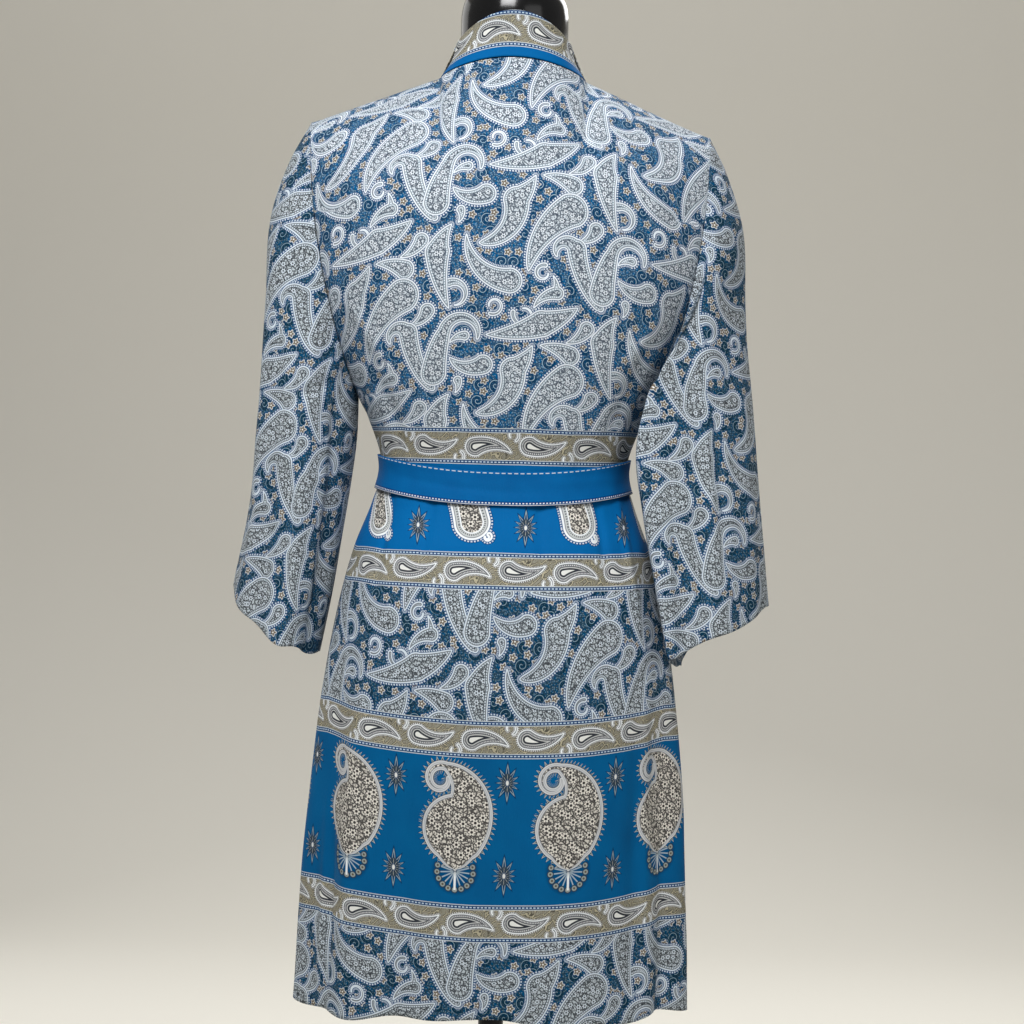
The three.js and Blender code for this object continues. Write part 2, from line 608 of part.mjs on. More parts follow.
// A point of a sleeve, by angle round it and share of its length.
function sleevePoint(name, angle, t) {
  const side = name === "left" ? 1 : -1;
  const rows = SLEEVE_SECTIONS[name];
  const at = (column) => tableAt(rows, "t", column, t);
  const [c, s] = [Math.cos(rad(angle)), Math.sin(rad(angle))];
  const share = (1 + c) / 2;
  const spread = 1 + foldDepth(SLEEVE_FOLDS[name], angle, t, "from") / at("depth");
  const bulge = ARMHOLE.bulge * s * s * (1 - smooth(t, 0, BULGE_END));
  const swing = s > 0 ? at("swing") * s * s : 0;
  const middle = (at("outX") + at("inX")) / 2;
  const x = middle + (lerp(at("inX"), at("outX"), share) - middle) * spread + bulge - swing;
  const y = at("back") + at("depth") * spread * s;
  return vec(side * x, y, lerp(at("inZ"), at("outZ"), share) - at("tilt") * s + cuffWave(angle, t));
}

// The cuff's edge waves a little; the wave fades out up the sleeve.
function cuffWave(angle, t) {
  return waveHeight(CUFF_WAVES, angle) * smooth(t, CUFF_WAVE_FROM, 1);
}

function sleeve(name) {
  const side = name === "left" ? 1 : -1;
  const angles = steps(360 / ARMHOLE.step, 180, -180).slice(0, -1);
  const around = side > 0 ? angles.reverse() : angles;
  const shares = steps(GRID.sleeve.along, SEAM_SHARE, 1);
  const rows = shares.map((t) => around.map((a) => sleevePoint(name, a, t)));
  const mitre = (normal, i, j) => {
    if (i === rows.length - 1) armholeMitre(normal, side, around[j]);
  };
  return wall(rows.reverse(), { closed: true, mitre });
}

// ---------------------------------------------------------------- the sash

// Height of the middle of the sash at an angle round the waist: it sags at the back.
function sashMiddle(angle) {
  const c = Math.cos(rad(angle));
  const end = c > 0 ? SASH.backZ : SASH.frontZ;
  return lerp(SASH.sideZ, end, c * c);
}

// A point of the sash. It is pulled smooth over the folds and over the lapped fronts.
function sashPoint(angle, across, out) {
  const z = sashMiddle(angle) + (across - 0.5) * SASH.height;
  const { side, back, front } = bodySection(z);
  const [s, c] = [Math.sin(rad(angle)), Math.cos(rad(angle))];
  const depth = c >= 0 ? back.depth : front.depth + LAP_RAISE;
  return vec(power(s) * (side + out), power(c) * (depth + out), z);
}

function sashLoop() {
  const angles = steps(GRID.sash.around, 0, 360).slice(0, -1).reverse();
  const out = SASH.clearance + SASH.thickness;
  const rows = steps(GRID.sash.across).map((v) => angles.map((a) => sashPoint(a, v, out)));
  return wall(rows, { thickness: SASH.thickness, closed: true });
}

// The knot: a flattened round lump with its flat side on the sash.
function sashKnot() {
  const seat = sashPoint(180, 0, SASH.clearance + SASH.thickness + 2 * SEAM).y - SEAM;
  const place = (turn, rise) => vec(
    KNOT.x + Math.cos(turn) * Math.cos(rise) * KNOT.halfWidth,
    seat - Math.sin(rise) * KNOT.depth,
    SASH.frontZ + Math.sin(turn) * Math.cos(rise) * KNOT.halfHeight,
  );
  const turns = steps(GRID.knot.around, 0, 2 * Math.PI).slice(0, -1);
  const rises = steps(GRID.knot.along, 0, Math.PI / 2).slice(0, -1);
  return loft(rises.map((rise) => turns.map((turn) => place(turn, rise))), place(0, Math.PI / 2));
}

// One hanging end of the sash: gathered under the sash's lower edge behind the knot, then lying down the
// skirt.
function sashEnd({ x, lean, length, lift, twist }) {
  const top = SASH.frontZ - SASH.height / 2 - SEAM;
  const start = SASH.clearance + SASH.thickness;
  const rows = steps(GRID.sashEnd.along).map((v) => {
    const fallen = 1 - v;
    const z = top - length * fallen;
    const gathered = lerp(1, SASH_END_GATHER.width, smooth(v, SASH_END_GATHER.from, 1));
    const stood = lerp(start, lift, smooth(fallen, 0, SASH_END_SETTLED));
    const surface = bodySection(z).front.depth + LAP_RAISE + stood;
    return steps(GRID.sashEnd.across, -0.5, 0.5).map((e) => {
      const px = x + lean * fallen + e * SASH.height * gathered;
      return vec(px, -surface - twist * (e + 0.5) * fallen, z);
    });
  });
  return wall(rows, { thickness: SASH.thickness });
}

// ---------------------------------------------------------------- the dress form

function formTorso() {
  const ring = (row) => steps(FORM_SIDES, 0, 360).slice(0, -1).reverse().map((a) => {
    const [s, c] = [Math.sin(rad(a)), Math.cos(rad(a))];
    const depth = c >= 0 ? row.back : row.front;
    return vec(power(s, row.round) * row.side, power(c, row.round) * depth, row.z);
  });
  return loft(FORM_SECTIONS.map(ring), vec(0, 0, FORM_TOP_Z));
}

// A solid turned round the stand's upright axis, from a profile of radius and height.
function turned(profile, sides) {
  const points = profile.map(([radius, z]) => new THREE.Vector2(radius, z));
  return new THREE.LatheGeometry(points, sides).rotateX(Math.PI / 2);
}

function standBase() {
  const { baseRadius, baseEdge, bevel, baseRise, hubRadius, hubHeight, hubFillet } = STAND;
  return turned([
    [0, 0],
    [baseRadius, 0],
    [baseRadius, baseEdge],
    [baseRadius - bevel[0], baseEdge + bevel[1]],
    [hubRadius + hubFillet[0], baseRise],
    [hubRadius, baseRise + hubFillet[1]],
    [hubRadius, hubHeight],
    [0, hubHeight],
  ], GRID.stand.base);
}

function standPole() {
  const top = FORM_SECTIONS[0].z - SEAM;
  const foot = STAND.hubHeight + SEAM;
  const { poleRadius, plateRadius, plateHeight, plateCone } = STAND;
  return turned([
    [0, foot],
    [poleRadius, foot],
    [poleRadius, top - plateHeight - plateCone],
    [plateRadius, top - plateHeight],
    [plateRadius, top],
    [0, top],
  ], GRID.stand.pole);
}

// ---------------------------------------------------------------- the object

const FINISHES = {
  print: { color: 0x7f93a3, roughness: 0.82, metalness: 0 },
  blue: { color: 0x005fa2, roughness: 0.78, metalness: 0 },
  border: { color: 0xa8a79c, roughness: 0.82, metalness: 0 },
  form: { color: 0x0b0c0e, roughness: 0.22, metalness: 0 },
  steel: { color: 0x24262a, roughness: 0.38, metalness: 0.7 },
};

const PIECES = [
  { name: "back_bodice", finish: "print", geometry: backBodice() },
  { name: "front_bodice_left", finish: "print", geometry: frontBodice(1) },
  { name: "front_bodice_right", finish: "print", geometry: frontBodice(-1) },
  { name: "back_skirt", finish: "print", geometry: backSkirt() },
  { name: "front_skirt_left", finish: "print", geometry: frontSkirt(1) },
  { name: "front_skirt_right", finish: "print", geometry: frontSkirt(-1) },
  { name: "sleeve_left", finish: "print", geometry: sleeve("left") },
  { name: "sleeve_right", finish: "print", geometry: sleeve("right") },
  { name: "collar", finish: "border", geometry: collar() },
  { name: "front_band_left", finish: "border", geometry: frontBand(1) },
  { name: "front_band_right", finish: "border", geometry: frontBand(-1) },
  { name: "sash_loop", finish: "blue", geometry: sashLoop() },
  { name: "sash_knot", finish: "blue", geometry: sashKnot() },
  ...SASH_ENDS.map((end) => ({ name: end.name, finish: "blue", geometry: sashEnd(end) })),
  { name: "form_torso", finish: "form", geometry: formTorso() },
  { name: "stand_pole", finish: "steel", geometry: standPole() },
  { name: "stand_base", finish: "steel", geometry: standBase() },
];

// Lowers the wearer's right shoulder, and all that lies on it, a little.
function settle(geometry) {
  const position = geometry.attributes.position;
  for (let i = 0; i < position.count; i += 1) {
    const across = smooth(-position.getX(i), SETTLE.from.x, SETTLE.full.x);
    const share = across * smooth(position.getZ(i), SETTLE.from.z, SETTLE.full.z);
    position.setX(i, position.getX(i) + SETTLE.inwards * share);
    position.setZ(i, position.getZ(i) - SETTLE.drop * share);
  }
}

const robe = new THREE.Group();
for (const { name, finish, geometry } of PIECES) {
  settle(geometry);
  const mesh = new THREE.Mesh(geometry, new THREE.MeshStandardMaterial(FINISHES[finish]));
  mesh.name = name;
  robe.add(mesh);
}

export default robe;
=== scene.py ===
"""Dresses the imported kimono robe: fine cloth shells on the CAD surfaces, printed crepe and the studio."""

import logging
import math
from collections.abc import Callable
from dataclasses import dataclass, field, replace
from enum import Enum

import bpy
import numpy as np
from mathutils import Matrix, Vector


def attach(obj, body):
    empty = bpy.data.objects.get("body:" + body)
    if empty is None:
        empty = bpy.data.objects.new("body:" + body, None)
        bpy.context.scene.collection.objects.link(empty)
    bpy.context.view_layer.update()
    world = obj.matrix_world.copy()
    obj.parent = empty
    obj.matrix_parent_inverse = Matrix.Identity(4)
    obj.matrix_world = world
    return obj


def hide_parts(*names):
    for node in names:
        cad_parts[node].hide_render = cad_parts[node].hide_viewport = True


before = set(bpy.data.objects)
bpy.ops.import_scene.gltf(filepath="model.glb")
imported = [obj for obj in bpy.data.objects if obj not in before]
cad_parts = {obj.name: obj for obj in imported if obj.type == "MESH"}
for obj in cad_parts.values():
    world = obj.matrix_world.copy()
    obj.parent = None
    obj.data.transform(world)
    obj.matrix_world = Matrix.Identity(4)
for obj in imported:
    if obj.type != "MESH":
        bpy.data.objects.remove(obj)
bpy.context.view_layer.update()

logging.basicConfig(level=logging.INFO, format="%(message)s")
log = logging.getLogger("robe")

MM = 0.001

Array = np.ndarray
Value = Array | float
Pair = tuple[float, float]
Triple = tuple[float, float, float]
Piece = bpy.types.Object
Material = bpy.types.Material


# ---------------- small mathematics


def smooth(value: Value, low: float, high: float) -> Value:
    """A soft step from 0 at low to 1 at high."""
    share = np.clip((value - low) / (high - low), 0, 1)
    return share * share * (3 - 2 * share)


def mix(first: Value, second: Value, share: Value) -> Value:
    """Straight mix of two values."""
    return first + (second - first) * share


def points(x: Value, y: Value, z: Value) -> Array:
    """Points from their three coordinates, spread to one shape."""
    return np.stack(np.broadcast_arrays(x, y, z), axis=-1).astype(float)


@dataclass(frozen=True)
class Table:
    """Rows of sizes with a key column, read between its rows on a smooth curve.

    Args:
        columns: the names of the columns, the key first.
        rows: the rows, with rising keys.
    """

    columns: tuple[str, ...]
    rows: tuple[tuple[float, ...], ...]

    def at(self, column: str, key: Value) -> Array:
        """The column's value at each key.

        Args:
            column: the name of the column.
            key: places on the key column.

        Returns:
            The values, in the shape of the keys.
        """
        grid = np.array(self.rows, float)
        keys = grid[:, 0]
        values = grid[:, self.columns.index(column)]
        last = len(keys) - 1
        before = np.maximum(np.arange(last + 1) - 1, 0)
        after = np.minimum(np.arange(last + 1) + 1, last)
        slopes = (values[after] - values[before]) / (keys[after] - keys[before])
        place = np.clip(key, keys[0], keys[-1])
        i = np.clip(np.searchsorted(keys, place, side="right") - 1, 0, last - 1)
        span = keys[i + 1] - keys[i]
        s = (place - keys[i]) / span
        return (
            values[i] * (2 * s**3 - 3 * s**2 + 1)
            + slopes[i] * span * (s**3 - 2 * s**2 + s)
            + values[i + 1] * (3 * s**2 - 2 * s**3)
            + slopes[i + 1] * span * (s**3 - s**2)
        )


@dataclass(frozen=True)
class Fold:
    """A soft ridge (positive depth) or trough that starts at one place and is full at another.

    Args:
        angle: where it lies round the section, in degrees.
        width: its half width in degrees.
        depth: its depth in mm.
        start: the height or share where it begins.
        full: the height or share where it is complete.
    """

    angle: float
    width: float
    depth: float
    start: float
    full: float

    def height(self, angle: Array, place: Array) -> Array:
        """Its height off the plain surface.

        Args:
            angle: angles round the section.
            place: heights or shares along it.

        Returns:
            The heights in mm.
        """
        away = (angle - self.angle + 540) % 360 - 180
        grown = (place - self.start) / (self.full - self.start)
        return self.depth * smooth(grown, 0, 1) * np.exp(-((away / self.width) ** 2))


def fold_depth(folds: tuple[Fold, ...], angle: Array, place: Array) -> Array:
    """Sum of the folds at places on a surface."""
    return sum(fold.height(angle, place) for fold in folds)


@dataclass(frozen=True)
class Wave:
    """A wave of an edge, a whole number of times round it."""

    count: int
    depth: float
    phase: float

    def height(self, angle: Array) -> Array:
        """Its height at angles in degrees."""
        return self.depth * np.sin(np.radians(self.count * angle + self.phase))


# ---------------- the surfaces that the cloth lies on

CLOTH_GAP_DEGREES = 0.06  # pulls a panel's side edge back from the side seam
GAP = 0.35  # clearance along the seams
SHORT = 0.0035  # pulls a row back from the end of its run
BAND = 46.0  # width of the collar and of the front bands
SASH = 33.0  # width of the sash
WAIST = 1030.0  # height of the waist seam
HEM = 512.0  # height of the hem before its waves


@dataclass(frozen=True)
class BodyForm:
    """The surface of the robe's body, in mm.

    Args:
        roundness: power of the sections' superellipse.
        sections: half width and depths by height.
        front_edge: distance of a front's edge from the centre line by height.
        folds: round the body.
        hem_waves: of the hem.
        neck: a neck point, across, back and up.
        nape: how far back and up the neckline's middle lies.
        tip: a shoulder tip, across and up.
        underarm: an armhole's lowest point, across and up.
        armhole_depth: half the armhole's depth from front to back.
        armhole_bulge: how far its middle lies outwards.
        yoke_angle: place on the armhole, in degrees, above which the cloth bends to the shoulder.
        lap_raise: how far the left front stands off the right one.
        lap_full: distance from the centre line up to which it does so in full.
        lap_from: distance from which it lies on the body.
        collar_edge: half width, depth and rise over the neck point of the collar's free edge.
    """

    roundness: float = 2.3
    sections: Table = Table(
        ("z", "side", "back", "front"),
        (
            (500, 195, 140, 130),
            (620, 190, 138, 127),
            (740, 183, 137, 122),
            (820, 176, 135, 116),
            (900, 163, 128, 108),
            (960, 148, 114, 100),
            (1005, 131, 98, 92),
            (1042, 122, 91, 88),
            (1090, 137, 99, 102),
            (1110, 147, 103, 108),
            (1155, 158, 110, 122),
            (1220, 168, 117, 128),
            (1290, 176, 114, 112),
        ),
    )
    front_edge: Table = Table(
        ("z", "x"),
        ((500, -74), (900, -74), (1042, -54), (1110, -22), (1200, 8), (1290, 34)),
    )
    folds: tuple[Fold, ...] = (
        Fold(6, 7, 2.5, 760, 560),
        Fold(26, 8, -2.5, 930, 640),
        Fold(44, 8, 4, 1000, 640),
        Fold(60, 6, -5, 940, 620),
        Fold(74, 6, 8, 1010, 600),
        Fold(98, 6, -8, 960, 620),
        Fold(116, 7, 7, 1000, 620),
        Fold(138, 8, -4, 960, 600),
        Fold(-20, 8, 3, 900, 600),
        Fold(-40, 7, -3, 960, 640),
        Fold(-58, 4.5, -8, 860, 700),
        Fold(-71, 6, 8, 990, 680),
        Fold(-95, 6, -8, 960, 620),
        Fold(-113, 7, 7, 1000, 620),
        Fold(-136, 8, -4, 960, 600),
    )
    hem_waves: tuple[Wave, ...] = (Wave(5, 3.5, 40), Wave(13, 2.2, 100))
    neck: Triple = (72, 5, 1428)
    nape: Pair = (62, 1443)
    tip: Pair = (199, 1381)
    underarm: Pair = (147, 1110)
    armhole_depth: float = 54
    armhole_bulge: float = 12
    yoke_angle: float = 72
    lap_raise: float = 4.2
    lap_full: float = 78
    lap_from: float = 128
    collar_edge: Triple = (58, 59.5, 33)

    def power(self, value: Value) -> Array:
        """Takes a sine or cosine to the superellipse of the sections."""
        return np.sign(value) * np.abs(value) ** (2 / self.roundness)

    def unpower(self, value: Value) -> Array:
        """Takes it back again."""
        return np.sign(value) * np.abs(value) ** (self.roundness / 2)

    def armhole(self, side: int, angle: Value) -> Array:
        """Points of an armhole's seam.

        Args:
            side: 1 for the wearer's left, -1 for the right.
            angle: from the shoulder tip (0) over the back (90) to the underarm (180).

        Returns:
            The points in mm.
        """
        c = np.cos(np.radians(angle))
        s = np.sin(np.radians(angle))
        x = mix(self.underarm[0], self.tip[0], (1 + c) / 2) + self.armhole_bulge * s * s
        return points(side * x, self.armhole_depth * s, mix(self.underarm[1], self.tip[1], (1 + c) / 2))

    @property
    def yoke_z(self) -> float:
        """Height above which the cloth bends over to the shoulder."""
        return float(self.armhole(1, self.yoke_angle)[2])

    def section(self, z: Value) -> tuple[Array, Array, Array, Array, Array]:
        """The section at heights.

        Args:
            z: heights.

        Returns:
            Half width, back depth, sweep of the back's quarter, front depth and sweep of the front's.
        """
        z = np.asarray(z, float)
        share = (z - self.underarm[1]) / (self.tip[1] - self.underarm[1])
        edge = self.armhole(1, np.degrees(np.arccos(np.clip(2 * share - 1, -1, 1))))
        above = z > self.underarm[1]
        back = self.sections.at("back", z)
        front = self.sections.at("front", z)
        side = np.where(above, edge[..., 0], self.sections.at("side", z))

        def sweep(depth: Array) -> Array:
            """How much of a quarter turn the section runs through before the armhole cuts it."""
            reached = np.arccos(np.clip(self.unpower(edge[..., 1] / depth), -1, 1))
            return np.where(above, reached, math.pi / 2)

        return side, back, sweep(back), front, sweep(front)

    def point(self, angle: Array, z: Array, lift: Value = 0.0, creased: bool = True) -> Array:
        """Points of the body.

        Args:
            angle: from the centre back (0) over the wearer's left (90) to the centre front (180).
            z: heights in mm.
            lift: moves a front straight off the surface.
            creased: whether the folds count.

        Returns:
            The points in mm.
        """
        side, back, back_sweep, front, front_sweep = self.section(z)
        turn = (angle + 540) % 360 - 180
        is_back = np.abs(turn) <= 90
        depth = np.where(is_back, back, front)
        sweep = np.where(is_back, back_sweep, front_sweep)
        along = np.where(is_back, np.abs(turn), 180 - np.abs(turn)) / 90 * sweep
        fold = fold_depth(self.folds, angle, z) if creased else 0.0
        x = self.power(np.sin(along)) / self.power(np.sin(sweep)) * (side + fold)
        y = self.power(np.cos(along)) * (depth + np.where(is_back, 0, lift) + fold * np.cos(along))
        return points(np.sign(turn) * x, np.where(is_back, y, -y), z)

    def top_edge(self, x: Array) -> Array:
        """The neckline or shoulder line.

        Args:
            x: distances from the centre line.

        Returns:
            The points in mm.
        """
        neck_x, neck_y, neck_z = self.neck
        width = np.minimum(np.abs(x), self.tip[0])
        share = np.clip(width / neck_x, 0, 1)
        y = neck_y + (self.nape[0] - neck_y) * np.sqrt(1 - share**2)
        near = points(x, y, mix(self.nape[1], neck_z, share**2))
        out = (width - neck_x) / (self.tip[0] - neck_x)
        far = points(x, neck_y * (1 - out), mix(neck_z, self.tip[1], out))
        return np.where((width < neck_x)[..., None], near, far)

    def yoke(self, foot: Array, top: Array, edge: Array, facing: int, w: Array) -> Array:
        """Points of the cloth between the section at the yoke's foot and the top edge.

        Args:
            foot: points of the section at the yoke's height.
            top: points of the top edge above them.
            edge: how far out each column is, from 0 at the centre to 1 at the armhole.
            facing: 1 for the back, -1 for a front.
            w: share of the way up.

        Returns:
            The points in mm.
        """
        zeros = np.zeros_like(foot[..., 0])
        rise = points(foot[..., 0], foot[..., 1], foot[..., 2] + 0.42 * (top[..., 2] - foot[..., 2]))
        if facing > 0:
            outwards = smooth(np.abs(top[..., 0]), 54, 94)
            reach, drop = mix(14, 44, outwards), mix(30, 5, outwards)
        else:
            reach, drop = zeros + 46, zeros + 3
        over = top + points(0 * reach, facing * reach, -drop)
        w = np.asarray(w, float)[..., None]
        free = (
            foot * (1 - w) ** 3
            + 3 * rise * w * (1 - w) ** 2
            + 3 * over * w**2 * (1 - w)
            + top * w**3
        )
        sides = np.where(foot[..., 0] < 0, -1, 1)
        seam = self.armhole(1, facing * self.yoke_angle * (1 - w[..., 0])) * points(sides, 1, 1)
        return mix(free, seam, smooth(edge, 0.72, 1)[..., None])

    def front_angle(self, x: Array, z: Array) -> Array:
        """The angle away from the centre front at which a place of a front lies.

        Args:
            x: distances from the centre line.
            z: heights.

        Returns:
            The angles in degrees.
        """
        side, _, _, _, sweep = self.section(z)
        share = np.clip(x / side, -1, 1) * self.power(np.sin(sweep))
        return np.arcsin(np.clip(self.unpower(share), -1, 1)) / sweep * 90

    def front_across(self, z: Array, u: Array, start: Array) -> Array:
        """How far out a share of a front's angle lies.

        Args:
            z: heights.
            u: shares of the angle from the start to the side seam.
            start: distances of the start from the centre line.

        Returns:
            The distances from the centre line.
        """
        side, _, _, _, sweep = self.section(z)
        angle = mix(self.front_angle(start, z), 90 - CLOTH_GAP_DEGREES, u)
        return self.power(np.sin(angle / 90 * sweep)) / self.power(np.sin(sweep)) * side

    def front(self, side: int, x: Array, z: Array) -> Array:
        """Points of a front at distances towards its own side; the left one laps over the right."""
        lift = self.lap_raise * (1 - smooth(x, self.lap_full, self.lap_from)) if side > 0 else 0.0
        return self.point(side * (180 - self.front_angle(x, z)), z, lift)

    def band_seam(self, z: Array) -> Array:
        """Distance from the centre line of the seam between a front and its band."""
        return self.front_edge.at("x", z) + BAND

    def front_yoke(self, side: int, u: Array, w: Array) -> Array:
        """Points of a front between the yoke's foot and the shoulder line.

        Args:
            side: 1 for the wearer's left, -1 for the right.
            u: shares of the way from the band's seam to the armhole.
            w: shares of the way up.

        Returns:
            The points in mm.
        """
        z = np.full(np.shape(u), self.yoke_z)
        x = self.front_across(z, u, self.band_seam(z) + GAP)
        foot = self.front(side, x, z)
        top = self.top_edge(side * mix(self.neck[0] + GAP, self.tip[0], u))
        top[..., 1] -= GAP
        return self.yoke(foot, top, x / self.section(z)[0], -1, w * (1 - SHORT))

    def hem(self, angle: Array, v: Array) -> Array:
        """Heights from the waved hem (0) to the waist seam (1) at an angle."""
        wave = sum(w.height(angle) for w in self.hem_waves)
        return mix(HEM + wave, WAIST - GAP, v)

    @staticmethod
    def settle(p: Array) -> Array:
        """Lowers the wearer's right shoulder, and all that lies on it, a little."""
        share = smooth(-p[..., 0], 40, 200) * smooth(p[..., 2], 1180, 1370)
        return p + points(3 * share, 0, -6 * share)


BODY = BodyForm()


# ---------------- cloth


@dataclass(frozen=True)
class Crease:
    """A soft ridge (positive depth) or trough along a straight line on a cut piece, fading out at its ends.

    Args:
        start: its first end on the cut, across and up, in mm.
        end: its other end.
        width: its half width in mm.
        depth: its depth in mm.
    """

    start: Pair
    end: Pair
    width: float
    depth: float

    def height(self, u: Array, v: Array) -> Array:
        """Its height off the plain cloth.

        Args:
            u: places across the cut.
            v: places up the cut.

        Returns:
            The heights in mm.
        """
        first = np.array(self.start, float)
        run = np.array(self.end, float) - first
        length = float(np.hypot(*run))
        run /= length
        along = (u - first[0]) * run[0] + (v - first[1]) * run[1]
        off = (u - first[0]) * run[1] - (v - first[1]) * run[0]
        share = np.clip(along / length, 0, 1)
        fade = np.sin(math.pi * share) ** 0.8
        return self.depth * fade * np.exp(-((off / self.width) ** 2))


class Grain(Enum):
    """How a hung cut is laid flat: by the steps between neighbours, or by plumb lines."""

    STEPS = "steps"
    PLUMB = "plumb"


@dataclass
class Cut:
    """A cut piece of cloth hung in its place.

    Args:
        hung: grid of points in mm, rows up the piece and columns across it to the right.
        origin: the column (a share of the row) that lies at 0 across the cut, and the height of the hem
            before its waves, or 0 where the lowest row is straight.
        closed: whether the last column joins the first.
        grain: how it is laid flat.
    """

    hung: Array
    origin: Pair = (0.5, 0.0)
    closed: bool = False
    grain: Grain = Grain.STEPS
    flat: Array = field(init=False)

    def __post_init__(self) -> None:
        """Works out each point's place on the flat cut."""
        grid = self.hung
        if self.closed:
            grid = np.concatenate([grid, grid[:, :1]], axis=1)
        across = np.linalg.norm(np.diff(grid, axis=1), axis=2)
        up = np.linalg.norm(np.diff(grid, axis=0), axis=2)
        u = np.concatenate([np.zeros((len(grid), 1)), np.cumsum(across, axis=1)], axis=1)
        middle = u[:, [int(round(self.origin[0] * (grid.shape[1] - 1)))]]
        v = np.concatenate([np.zeros((1, grid.shape[1])), np.cumsum(up, axis=0)], axis=0)
        if self.grain is Grain.PLUMB:
            self.flat = np.stack([self.level(grid), grid[..., 2]], axis=2)
        else:
            wave = grid[:1, :, 2] - self.origin[1] if self.origin[1] else 0.0
            self.flat = np.stack([u - middle, v + wave], axis=2)

    def level(self, grid: Array, levels: int = 160) -> Array:
        """Distances across the cut, measured round level sections from its origin's column.

        Args:
            grid: of points, whose heights rise from row to row.
            levels: how many sections are measured.

        Returns:
            The distances in mm, one for each point.
        """
        heights = np.linspace(grid[..., 2].min(), grid[..., 2].max(), levels)
        columns = range(grid.shape[1])
        sections = np.stack(
            [[np.interp(heights, grid[:, j, 2], grid[:, j, axis]) for j in columns] for axis in (0, 1)],
            axis=-1,
        )
        steps = np.linalg.norm(np.diff(sections, axis=0), axis=2)
        run = np.concatenate([np.zeros((1, levels)), np.cumsum(steps, axis=0)])
        run -= run[int(round(self.origin[0] * (grid.shape[1] - 1)))]
        return np.stack([np.interp(grid[:, j, 2], heights, run[j]) for j in columns], axis=1)

    @property
    def size(self) -> Pair:
        """Width and length of the flat cut in metres."""
        width, length = np.ptp(self.flat, axis=(0, 1))
        return float(width) * MM, float(length) * MM

    @property
    def area(self) -> float:
        """Area of the cloth, added up over the hung grid.

        Returns:
            The area in square metres.
        """
        grid = np.concatenate([self.hung, self.hung[:, :1]], axis=1) if self.closed else self.hung
        first = grid[1:, 1:] - grid[:-1, :-1]
        second = grid[1:, :-1] - grid[:-1, 1:]
        return float(np.linalg.norm(np.cross(first, second), axis=2).sum()) / 2 * MM**2


